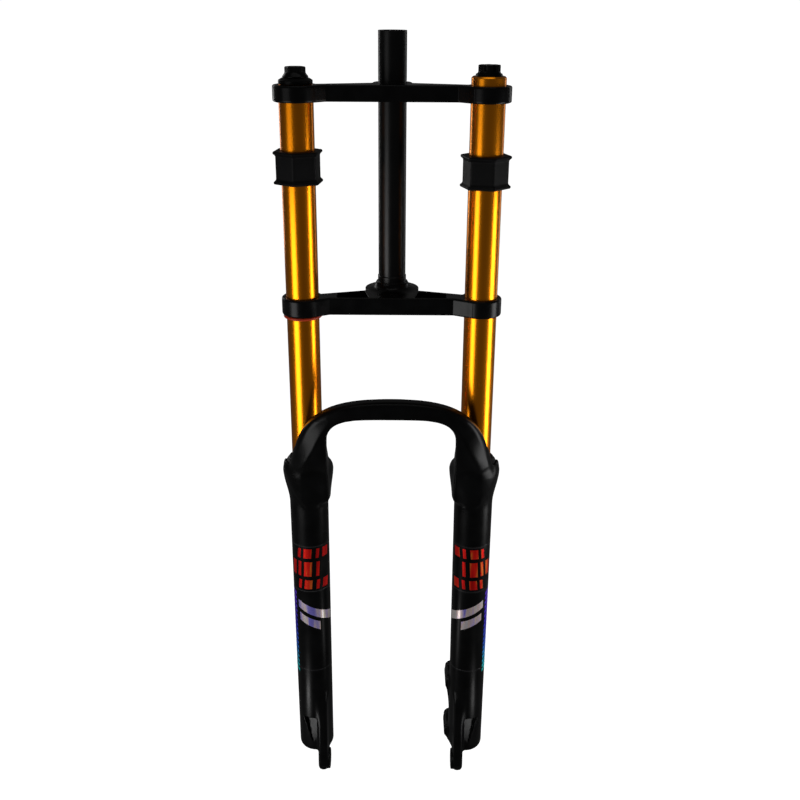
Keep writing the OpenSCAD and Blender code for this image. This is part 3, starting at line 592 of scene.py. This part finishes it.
def legRadius(z):
    # seal housing, a cosine fade down to the tube, then a long straight taper
    t = np.clip((leg["housingWideZ"] - z) / leg["housingFade"], 0, 1)
    down = np.clip((leg["housingWideZ"] - leg["housingFade"] - z) / leg["taperLength"], 0, 1)
    return (leg["topR"] + (leg["housingR"] - leg["topR"]) * (0.5 + 0.5 * np.cos(np.pi * t))
            - (leg["topR"] - leg["footR"]) * down)


def legField(rho, z):
    # distance from the leg's axis less its radius, with a chamfered top and a rounded foot
    outward, upward = leg["chamferWay"]
    d = rho - legRadius(z)
    d = smoothMax(d, (rho - leg["chamferR"]) * outward + (z - fork["legTop"]) * upward, 2.2)
    d = smoothMax(d, z - fork["legTop"], 1.2)
    return smoothMax(d, fork["footZ"] - z, leg["footRound"])


def archField(u, y, z):
    # inner opening: a fourth-power oval, turned into a distance by dividing by its slope
    rise = arch["underZ"] - arch["springZ"]
    a = u / arch["halfWide"]
    b = np.maximum(z - arch["springZ"], 0) / rise
    f = np.maximum((a ** 4 + b ** 4) ** 0.25, 1e-3)
    slope = np.hypot(a ** 3 / arch["halfWide"], b ** 3 / rise) / f ** 3
    opening = (f - 1) / np.maximum(slope, 1e-4)
    # outer edge: height above the top curve, scaled by its steepness
    topX, topZ = archTopLine.T
    steep = np.interp(u, topX[:-1], np.diff(topZ) / np.diff(topX))
    topZ = np.interp(u, topX, topZ)
    outer = (z - topZ) / np.sqrt(1 + steep ** 2)
    # front: two faces that fall back from the crest line, the outer one wider further down
    s = offCrest(u, z)
    along = np.clip((arch["facetZ"] - z) / arch["facetRun"], 0, 1)
    lean = np.clip((arch["leanZ"] - z) / arch["leanRun"], 0, 1)
    back = arch["leanBack"] * (0.5 - 0.5 * np.cos(np.pi * lean))
    soft = np.sqrt(s * s + 2.0)
    outside = (soft + s) / 2
    inside = (soft - s) / 2
    inDrop = 5 * (1 - np.exp(-(0.25 + 0.35 * along) * inside / 5))
    drop = outside * (0.16 + 0.42 * along) + 0.016 * along * outside ** 2 + inDrop
    front = (arch["front"] + back + drop - y) / (1.05 + 0.25 * along)
    rearY = arch["rear"] + np.clip((arch["rearZ"] - z) / arch["rearRun"], 0, 1) * arch["rearBack"]
    d = smoothMax(-opening, smoothMax(outer, front, 6.5), 2.0)
    d = smoothMax(d, (y - rearY) * 0.85, 2.5)
    skirt = u - arch["skirtX"] - 0.5 * np.minimum(z - arch["skirtZ"], 0)
    d = smoothMax(d, skirt * 0.9, 3.0)
    return smoothMax(d, arch["footZ"] - z, 4.0)


def dropoutField(u, y, z):
    # side view: the eye, and a blade from it up the front of the leg; then a boss in to the hub's face
    c = dropout
    fromAxle = np.hypot(y - fork["axleY"], z - fork["axleZ"])
    ey, ez = c["footY"] - c["topY"], fork["axleZ"] - c["top"]
    front = ((y - c["topY"]) * ez - (z - c["top"]) * ey) / np.hypot(ey, ez)
    blade = smoothMax(front, y - c["rearY"], 2.0)
    blade = smoothMax(blade, fork["axleZ"] - z, 1.0)
    blade = smoothMax(blade, z - c["top"] - 2.0, 14.0)
    side = smoothMin(fromAxle - c["eyeR"], blade, 1.5)
    middle, half = (c["inner"] + c["outer"]) / 2, (c["outer"] - c["inner"]) / 2
    half = half - c["thinBy"] * np.clip((c["thinZ"] - z) / 12, 0, 1) ** 2
    d = smoothMax(side, np.abs(u - middle) - half, 4.5)
    boss = smoothMax(fromAxle - c["bossR"], np.maximum(c["hubFace"] - u, u - middle), 0.8)
    return smoothMin(d, boss, 0.6)


def postField(x, y, z, level, rise):
    # a round post behind the leg, and a web that runs up and down from it into the leg
    c = post
    stub = np.hypot(x - c["x"], z - level) - c["r"]
    stub = smoothMax(stub, y - c["rear"], 1.2)
    stub = smoothMax(stub, legY - y, 1.0)
    drop = min(c["webDrop"], level - c["webFoot"])
    inner = c["x"] - c["r"] + np.clip((level - 4 - z) / (drop * 0.8 - 4), 0, 3) * 5.0
    web = smoothMax((inner - x) * 0.95, x - legX, 2.0)
    web = smoothMax(web, z - level - rise, 4.0)
    upper = np.clip((z - level - 2) / 10, 0, 1) * -5.0
    lower = np.clip((level - 4 - z) / (drop - 4), 0, 1.3) * 18.0
    rear = c["webRear"] + upper - lower
    web = smoothMax(web, (y - rear) * 0.85, 3.0)
    web = smoothMax(web, legY - y, 1.0)
    web = smoothMax(web, fork["footZ"] + c["webFloor"] - z, 3.0)
    return smoothMin(stub, web, 4.0)


def pocketField(u, y, z):
    # deepest under its level top, gone at its foot, and narrowing downwards
    c = pocket
    t = np.clip((c["top"] - z) / (c["top"] - c["foot"]), 0, 1)
    facing = np.radians(c["facing"])
    reach = legRadius(z) - c["deep"] * (1 - t)
    d = (reach - (u - legX) * np.sin(facing) + (y - legY) * np.cos(facing)) * 0.98
    d = smoothMax(d, z - c["top"], 0.3)
    d = smoothMax(d, c["foot"] - z, 0.3)
    d = smoothMax(d, dropout["outer"] + c["fromBlade"] - u, 0.6)
    return smoothMax(d, (u - legX - c["wideTop"] * (1 - t) - c["wideFoot"] * t) * 0.95, 0.6)


def boreField(rho, z):
    # the stanchion's bore, the wiper's seat, the foot bolt's hole and the recess under the foot
    bore = smoothMax(rho - leg["boreR"], fork["floorZ"] - z, 0.8)
    seat = smoothMax(rho - leg["seatR"], fork["legTop"] - leg["seatDeep"] - z, 0.6)
    bore = np.minimum(bore, seat)
    bore = np.minimum(bore, rho - leg["boltR"])
    return np.minimum(bore, smoothMax(rho - leg["knobR"], z - leg["knobTop"], 0.8))


def castingField(x, y, z):
    # legs and arch joined, then the dropouts and brake posts, less the pockets, holes and bores
    u = np.abs(x)
    rho = np.hypot(u - legX, y - legY)
    d = smoothMin(legField(rho, z), archField(u, y, z), 7.0)
    above = smoothMax(rho - leg["wiperR"], fork["legTop"] - z, 0.8)
    d = smoothMax(d, -above, 1.2)
    d = smoothMin(d, dropoutField(u, y, z), 4.0)
    d = smoothMax(d, -pocketField(u, y, z), 0.5)
    for level, rise in zip(post["levels"], post["webRises"]):
        d = smoothMin(d, postField(x, y, z, level, rise), 4.0)
    for level in post["levels"]:
        hole = np.hypot(x - post["x"], z - level) - post["boltR"]
        hole = smoothMax(hole, post["rear"] - post["boltDeep"] - y, 0.4)
        d = smoothMax(d, -hole, 0.6)
    d = smoothMax(d, -boreField(rho, z), 0.8)
    axle = np.hypot(y - fork["axleY"], z - fork["axleZ"]) - dropout["axleR"]
    return smoothMax(d, -axle, 1.2)


def makeCasting():
    # grid lines are close where the shape turns and far apart along the plain legs
    fine = 1.5
    half = steps(0.0, (54.0, 3.0), (60.0, 2.0), (124.5, fine))
    xs = np.concatenate([-half[:0:-1], half])
    ys = steps(-80.0, (7.0, fine))
    zs = steps(-613.0, (-486.0, fine), (-250.0, 6.0), (-238.0, 3.0), (-101.0, fine))
    fieldPiece("lowerCasting", castingField, xs, ys, zs, "lowers", "castBlack",
               ("lower_casting",))


crowns = {
    "lower": {"low": -18.5, "top": 0.0, "ringR": 21.5, "bossR": 22.5, "holeR": 16.5, "barFront": -42.5},
    "upper": {"low": 194.5, "top": 210.5, "ringR": 22.2, "bossR": 20.3, "holeR": 14.3, "barFront": -37.0},
    "facetRun": 29.0, "edgeRound": 2.4,
    "earHalf": 11.0, "earReach": 10.0, "slitHalf": 1.0,
    "boltR": 2.5, "boltBehind": 5.0, "boltShares": (0.25, 0.75), "headR": 4.1, "headFrom": 7.0,
    "pocket": [(26.0, -37.0), (55.0, -37.0), (55.0, -23.9), (30.3, -16.4)],
    "pocketRound": 2.0, "pocketDepth": 10.0,
    "flareR": 28.5, "flareTopR": 17.0, "flareH": 8.0, "flareFoot": -9.25,
    "shoulder": (111.4, -30.0, 202.5), "shoulderHalf": (4.0, 8.0, 7.5),
}


def crownCorners(c):
    # the bar's outline on one side: front, bend, slanted face to the ring, ring, back to the boss
    bend = np.array([legX - crowns["facetRun"], c["barFront"]])
    ring = np.array([legX, legY])
    r = 0.99 * c["ringR"]
    way = bend - ring
    reach = np.hypot(*way)
    turn = np.arctan2(way[1], way[0]) + np.arccos(r / reach)
    touch = ring + r * np.array([np.cos(turn), np.sin(turn)])
    rear = ring + r * np.array([-np.cos(np.radians(28)), np.sin(np.radians(28))])
    side = 0.99 * c["bossR"] * np.array([np.cos(np.radians(20)), -np.sin(np.radians(20))])
    return [tuple(p) for p in ((-40, bend[1]), bend, touch, ring, rear, side, (-40, side[1]))]


def clampField(plan, across, back, z, ringR, c):
    # ears behind a ring, its slit, and two bolt holes with counterbores: gives back the plan with its
    # ears, and what is cut from it
    ear = smoothMax(np.abs(across) - crowns["earHalf"], back - ringR - crowns["earReach"], 4.0)
    ear = smoothMax(ear, 0.7 * ringR - back, 0.5)
    plan = smoothMin(plan, ear, 2.0)
    gone = np.maximum(np.abs(across) - crowns["slitHalf"], -back)
    line = ringR + crowns["boltBehind"]
    for share in crowns["boltShares"]:
        level = c["low"] + (c["top"] - c["low"]) * share
        off = np.hypot(back - line, z - level)
        head = np.maximum(off - crowns["headR"], crowns["headFrom"] - across)
        hole = np.minimum(off - crowns["boltR"], head)
        gone = np.minimum(gone, np.maximum(hole, np.abs(across) - 14.0))
    return plan, gone


def crownField(c, upper):
    # the plan of bar, rings and boss, given its height, then its own additions, less holes and slits
    corners = crownCorners(c)
    middle, half = (c["top"] + c["low"]) / 2, (c["top"] - c["low"]) / 2

    def field(x, y, z):
        u = np.abs(x)
        across = np.where(x > 0, x - legX, x + legX)
        ring = np.hypot(u - legX, y - legY)
        boss = np.hypot(x, y)
        plan = polygonField(u, y, corners)
        plan = smoothMin(plan, ring - c["ringR"], 1.0)
        plan = smoothMin(plan, boss - c["bossR"], 6.0)
        plan, gone = clampField(plan, across, y - legY, z, c["ringR"], c)
        if upper:
            plan, steererGone = clampField(plan, x + 0 * y, y, z, c["bossR"], c)
            gone = np.minimum(gone, steererGone)
        d = smoothMax(plan, np.abs(z - middle) - half, crowns["edgeRound"])
        if upper:
            # a small flat shoulder on the outer side of each ring
            (sx, sy, sz), (hx, hy, hz) = crowns["shoulder"], crowns["shoulderHalf"]
            shoulder = smoothMax(np.abs(u - sx) - hx, np.abs(y - sy) - hy, 1.5)
            d = smoothMin(d, smoothMax(shoulder, np.abs(z - sz) - hz, 1.5), 0.8)
        else:
            # concave flare up to the steerer: a quarter arc turned about its axis, on a short straight collar
            t = np.clip(1 - z / crowns["flareH"], 0, 1)
            spread = crowns["flareR"] - crowns["flareTopR"]
            flareR = crowns["flareTopR"] + spread * (1 - np.sqrt(1 - t * t))
            flare = smoothMax((boss - flareR) * 0.75, z - crowns["flareH"], 1.0)
            flare = smoothMax(flare, crowns["flareFoot"] - z, 1.0)
            d = smoothMin(d, flare, 0.8)
            pocket = polygonField(u, y, crowns["pocket"]) - crowns["pocketRound"]
            d = smoothMax(d, -smoothMax(pocket, -crowns["pocketDepth"] - z, 2.0), 1.2)
        d = smoothMax(d, -(ring - fork["stanchionR"]), 1.0)
        d = smoothMax(d, -(boss - c["holeR"]), 0.8)
        return smoothMax(d, -gone, 0.6)
    return field


def makeCrowns():
    fine = 0.95
    xs = steps(-118.0, (118.0, fine))
    for name, rearEnd, top in (("lower", 31.5, 9.5), ("upper", 33.0, 212.0)):
        c = crowns[name]
        ys = steps(-59.5, (rearEnd, fine))
        zs = steps(c["low"] - 1.6, (top, 0.8))
        fieldPiece(name + "Crown", crownField(c, name == "upper"), xs, ys, zs, "chassis", "crownBlack",
                   (name + "_crown",))


def hexField(x, y, turn):
    # distance out from a hexagon's centre: the largest of three directions 60 degrees apart, with a
    # corner at the turn
    best = None
    for k in range(3):
        a = np.radians(turn + 30 + 60 * k)
        one = np.abs(x * np.cos(a) + y * np.sin(a))
        best = one if best is None else smoothMax(best, one, 1.2)
    return best


bumper = {
    "flat": 20.25, "lipOut": 2.25, "lipH": 2.4, "lipFade": 3.2, "h": 32.0, "around": 27.0, "fine": 0.7,
    "each": (("frameBumperRight", -1, 116.5, 23, "frame_bumper_right"),     # side, foot, turn, CAD node
             ("frameBumperLeft", 1, 113.0, 47, "frame_bumper_left")),
}


def bumperField(side, low, turn):
    # a hexagonal sleeve whose flats swell into a lip at each end
    def field(x, y, z):
        lx, ly = x - side * legX, y - legY
        nearEnd = np.minimum(z - low, low + bumper["h"] - z)
        lip = np.clip(1 - (nearEnd - bumper["lipH"]) / bumper["lipFade"], 0, 1)
        flat = bumper["flat"] + bumper["lipOut"] * lip * lip
        d = smoothMax((hexField(lx, ly, turn) - flat) * 0.9, -nearEnd, 1.4)
        return smoothMax(d, -(np.hypot(lx, ly) - fork["stanchionR"]), 0.6)
    return field


def makeBumpers():
    around, fine = bumper["around"], bumper["fine"]
    for name, side, low, turn, node in bumper["each"]:
        xs = steps(side * legX - around, (side * legX + around, fine))
        ys = steps(legY - around, (legY + around, fine))
        zs = steps(low - 1.2, (low + bumper["h"] + 1.2, fine))
        fieldPiece(name, bumperField(side, low, turn), xs, ys, zs, "chassis", "bumperRubber",
                   (node,))


knob = {"low": 216.9, "h": 10.0, "baseR": 12.6, "topR": 9.4, "hexR": 10.53, "boreR": 3.0, "boreTop": 4.0,
        "around": 13.6, "fine": 0.45}


def knobField(x, y, z):
    # a hexagonal grip standing on a coned skirt, bored from below
    k = knob
    lx, ly, up = x + legX, y - legY, z - k["low"]
    rho = np.hypot(lx, ly)
    coneR = k["baseR"] + (k["topR"] - k["baseR"]) * np.clip((up - 1) / (k["h"] * 0.5 - 1), 0, 1)
    skirt = smoothMax((rho - coneR) * 0.85, up - k["h"] * 0.5, 1.2)
    six = smoothMax(hexField(lx, ly, 0) - k["hexR"] * np.cos(np.pi / 6), up - k["h"], 1.4)
    d = smoothMax(smoothMin(skirt, six, 0.8), -up, 0.8)
    return smoothMax(d, -smoothMax(rho - k["boreR"], up - k["boreTop"], 0.3), 0.3)


cover = {"low": 221.4, "h": 8.0, "r": 10.7, "notches": 8, "notchHalf": 1.6, "notchDeep": 2.2,
         "notchFoot": 2.5, "boreR": 4.5, "boreTop": 227.4, "around": 12.6, "fine": 0.42}


def coverField(x, y, z):
    # a disc with a wider foot, notched around its rim and bored from below
    k = cover
    lx, ly, up = x - legX, y - legY, z - k["low"]
    rho = np.hypot(lx, ly)
    r = k["r"] + np.clip(1 - up / 1.5, 0, 1)
    d = smoothMax((rho - r) * 0.85, np.abs(up - k["h"] / 2) - k["h"] / 2, 1.0)
    part = 2 * np.pi / k["notches"]
    angle = np.arctan2(ly, lx)
    angle = angle - part * (np.floor(angle / part) + 0.5)
    inX, inY = rho * np.cos(angle), rho * np.sin(angle)
    notch = smoothMax(np.abs(inY) - k["notchHalf"], k["r"] - k["notchDeep"] - inX, 0.5)
    d = smoothMax(d, -smoothMax(notch, k["notchFoot"] - up, 0.5), 0.5)
    return smoothMax(d, -smoothMax(rho - k["boreR"], z - k["boreTop"], 0.4), 0.4)


caps = {"plugR": 14.6, "plugDeep": 20, "rimR": 13.5, "needleR": 3.05, "flangeR": 16.7, "valveR": 3.9}


def makeTops():
    # each cap is a plug in its stanchion with a rim on top; the knob and the cover stand on them
    c, top = caps, fork["damperTop"]
    lathePiece("damperTopCap", [([
        (c["needleR"], top - c["plugDeep"], 0), (c["plugR"], top - c["plugDeep"], 0),
        (c["plugR"], top, 0), (c["flangeR"], top, 0.3), (c["flangeR"], top + 3.4, 0.8),
        (c["rimR"], top + 5.4, 1.0), (c["needleR"], top + 5.4, 0.2)], (-legX, legY))],
        "chassis", "capBlack", ("damper_top_cap",))
    low, around, fine = knob["low"], knob["around"], knob["fine"]
    fieldPiece("compressionKnob", knobField, steps(-legX - around, (-legX + around, fine)),
               steps(legY - around, (legY + around, fine)), steps(low - 0.8, (low + 10.8, fine)),
               "compression_adjuster", "capBlack", ("compression_knob",))
    top = fork["airTop"]
    lathePiece("airTopCap", [([
        (c["valveR"], top - c["plugDeep"], 0), (c["plugR"], top - c["plugDeep"], 0),
        (c["plugR"], top, 0), (c["rimR"], top, 0.2), (12.5, top + 2.4, 0.5),
        (c["valveR"], top + 2.4, 0)], (legX, legY))],
        "chassis", "capBlack", ("air_top_cap",))
    low, around, fine = cover["low"], cover["around"], cover["fine"]
    fieldPiece("airValveCover", coverField, steps(legX - around, (legX + around, fine)),
               steps(legY - around, (legY + around, fine)), steps(low - 0.8, (low + 8.8, fine)),
               "chassis", "capBlack", ("air_valve_cover",))


steerer = {"r": 14.3, "boreR": 11.5, "rootR": 16.5, "seatR": 15.0, "foot": -18.5, "flareTop": 8, "seatTop": 14,
           "top": 259, "mark": 211.5, "markHalf": 0.6, "markDeep": 0.2}


def makeTubes():
    # the steerer with its thicker root, race seat and fine mark; the stanchions with rounded ends and
    # a groove inside the foot
    s = steerer
    markR, markLow, markTop = s["r"] - s["markDeep"], s["mark"] - s["markHalf"], s["mark"] + s["markHalf"]
    lathePiece("steerer", [([
        (s["boreR"], s["foot"], 0.4), (s["rootR"], s["foot"], 0.5), (s["rootR"], s["flareTop"], 0.6),
        (s["seatR"], s["flareTop"], 0.3), (s["seatR"], s["seatTop"], 0.4), (s["r"], s["seatTop"] + 0.7, 0.4),
        (s["r"], markLow, 0.15), (markR, markLow, 0.05), (markR, markTop, 0.05), (s["r"], markTop, 0.15),
        (s["r"], s["top"] - 0.5, 0.3), (s["r"] - 0.5, s["top"], 0.3), (s["boreR"], s["top"], 0.4)],
        (0.0, 0.0))], "chassis", "steererBlack", ("steerer_tube",), 128)
    low, r, inner = fork["stanchionBottom"], fork["stanchionR"], fork["stanchionInnerR"]
    for name, side, top, node in (("stanchionRight", -1, fork["damperTop"], "stanchion_damper_side"),
                                  ("stanchionLeft", 1, fork["airTop"], "stanchion_air_side")):
        lathePiece(name, [([
            (inner, low, 0.3), (r - 0.6, low, 0.2), (r, low + 1.2, 0.3), (r, top - 1.5, 0.6),
            (r - 1.5, top, 0.4), (inner, top, 0.2), (inner, low + 4.2, 0), (inner + 0.8, low + 4.2, 0),
            (inner + 0.8, low + 3, 0), (inner, low + 3, 0)], (side * legX, legY))],
            "chassis", "goldAnodised", (node,), 128)


def wire(r, z, thick):
    # the round section of a wire ring
    a = np.linspace(0, 2 * np.pi, 20, endpoint=False)
    return [(r + thick * np.cos(t), z + thick * np.sin(t), 0) for t in a]


def makeSeals():
    # wiper: flange in its seat, lip and sloping top around the stanchion; the springs and the travel
    # ring are wire rings
    top = fork["legTop"]
    lathePiece("dustWipers", bothLegs([
        (17.05, top - 7, 0.3), (21.5, top - 7, 0.4), (21.5, top, 0), (23.2, top, 0.5), (23.2, top + 2.5, 0.8),
        (21.1, top + 4.2, 0.8), (20.0, top + 4.6, 0.2), (19.5, top + 5.6, 0.3), (19.4, top + 7, 0.6),
        (17.05, top + 6.6, 0.2)]), "lowers", "sealRubber", ("dust_wipers",), 128)
    lathePiece("wiperSprings", bothLegs(wire(20.1, top + 5.4, 0.7)), "lowers", "boltSteel",
               ("wiper_springs",), 128)
    lathePiece("travelRing", [(wire(18.65, -20.5, 1.6), (-legX, legY))], "travel_ring", "ringRubber",
               ("travel_ring",), 128)


def bevelled(name, node, body, width, finish, slot):
    # a copy of a CAD node with its flat faces joined up and its edges rounded
    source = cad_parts[node]
    shape = bmesh.new()
    shape.from_mesh(source.data)
    shape.transform(source.matrix_world)
    bmesh.ops.remove_doubles(shape, verts=shape.verts, dist=2e-6)
    bmesh.ops.dissolve_limit(shape, angle_limit=0.01, verts=shape.verts, edges=shape.edges)
    mesh = bpy.data.meshes.new(name)
    shape.to_mesh(mesh)
    shape.free()
    mesh.materials.clear()
    mesh.materials.append(materials[finish])
    mesh.shade_smooth()
    piece = bpy.data.objects.new(name, mesh)
    bpy.context.scene.collection.objects.link(piece)
    edge = piece.modifiers.new("edge", "BEVEL")
    edge.width = width * mm
    edge.segments = 2
    edge.limit_method = "ANGLE"
    edge.angle_limit = 0.6
    edge.harden_normals = True
    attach(piece, body)
    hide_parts(node)
    print(name, "made:", len(mesh.polygons), "faces")


fasteners = [                   # piece, CAD node, body, edge width, finish, slot
    ("lowerCrownBolts", "lower_crown_bolts", "chassis", 0.35, "boltSteel", "bolt_steel"),
    ("upperCrownBolts", "upper_crown_bolts", "chassis", 0.35, "boltSteel", "bolt_steel"),
    ("steererClampBolts", "steerer_clamp_bolts", "chassis", 0.35, "boltSteel", "bolt_steel"),
    ("footBolts", "foot_bolts", "lowers", 0.35, "boltSteel", "bolt_steel"),
    ("reboundKnob", "rebound_knob", "rebound_adjuster", 0.2, "reboundRed", "rebound_red"),
]


def makeFasteners():
    for fastener in fasteners:
        bevelled(*fastener)


def shellOnLeg(side, corners, lift, across=13, down=9):
    # a thin closed patch that follows a leg; corners are (degrees from the front towards the outside,
    # height), and the patch runs straight between them
    s, t = np.meshgrid(np.linspace(0, 1, across), np.linspace(0, 1, down), indexing="ij")
    c = np.array(corners, float)
    share = np.stack([(1 - s) * (1 - t), s * (1 - t), s * t, (1 - s) * t], 2)
    at = share @ c
    angle, z = np.radians(at[..., 0]), at[..., 1]
    way = np.stack([side * np.sin(angle), -np.cos(angle), 0 * z], 2)
    middle = np.array([side * legX, legY, 0.0])
    height = np.stack([0 * z, 0 * z, z], 2)
    layers = [middle + way * (legRadius(z) + off)[..., None] + height for off in (lift, -0.4)]
    index = np.arange(across * down).reshape(across, down)
    face = np.stack([index[:-1, :-1], index[1:, :-1], index[1:, 1:], index[:-1, 1:]], 2).reshape(-1, 4)
    rim = np.concatenate([index[:-1, 0], index[-1, :-1], index[:0:-1, -1], index[0, :0:-1]])
    nextRim = np.roll(rim, -1)
    n = across * down
    walls = np.stack([nextRim, rim, rim + n, nextRim + n], 1)
    quads = np.concatenate([face, face[:, ::-1] + n, walls])
    points = np.concatenate([layer.reshape(-1, 3) for layer in layers])
    normals = np.concatenate([way.reshape(-1, 3)] * 2)
    a, b, d = points[face[0, 0]], points[face[0, 1]], points[face[0, 2]]
    if np.cross(b - a, d - a) @ normals[face[0, 0]] < 0:
        quads = quads[:, ::-1]
    return points, quads, normals


def decalPiece(name, side, patches, finish, lift=0.12):
    # several patches on one leg as one piece, standing proud by the lift
    points, quads, normals, count = [], [], [], 0
    for corners in patches:
        p, q, n = shellOnLeg(side, corners, lift)
        points.append(p)
        quads.append(q + count)
        normals.append(n)
        count += len(p)
    addPiece(name, np.concatenate(points), np.concatenate(quads).tolist(), "lowers", finish, (),
             np.concatenate(normals))


def bar(a0, a1, top, bottom, lean=0.0):
    # an upright bar between two angles, its foot shifted sideways by lean degrees
    return [(a0, top), (a1, top), (a1 + lean, bottom), (a0 + lean, bottom)]


decals = {
    "rows": ((-292, -304), (-309, -328), (-333, -345)), "lean": 3,
    "columns": ((-66, -44), (-32, -22), (-8, 16), (26, 36), (46, 62)),
    "lines": ((-74, 66, -288.6, -289.5), (-74, 66, -347.8, -348.7), (-84, 84, -459.0, -459.8)),
    "lineLift": 0.16,
    "stripes": ([(-80, -383), (43, -362), (43, -372), (-80, -395)],
                [(-29, -390.5), (38, -379), (38, -389), (-29, -402)]),
    "dashFrom": -354.0, "dashTo": -466.0, "dashStep": 6.4,
}


def makeDecals():
    # red blocks in three rows between dull lines, a pair of slanted stripes, and a run of short dashes
    # up the outside; each row leaves out a block at one end
    for side, word in ((-1, "Right"), (1, "Left")):
        blocks = []
        for k, (top, bottom) in enumerate(decals["rows"]):
            row = [bar(a0, a1, top, bottom, decals["lean"]) for a0, a1 in decals["columns"]]
            blocks += row[k % 2:5 - (k + 1) % 2]
        decalPiece("redBars" + word, side, blocks, "redFoilAndSheen")
        lines = [bar(*line) for line in decals["lines"]]
        decalPiece("dullLines" + word, side, lines, "dullFilm", decals["lineLift"])
        decalPiece("stripes" + word, side, decals["stripes"], "silverFoil")
        levels = np.arange(decals["dashFrom"], decals["dashTo"], -decals["dashStep"])
        dashes = [[(54, z), (80, z + 4), (80, z + 0.5), (54, z - 3.5)] for z in levels]
        decalPiece("dashes" + word, side, dashes, "blueFoil")
    print("decals made")


makeCasting()
makeCrowns()
makeTubes()
makeTops()
makeBumpers()
makeSeals()
makeFasteners()
makeDecals()
bpy.context.view_layer.update()
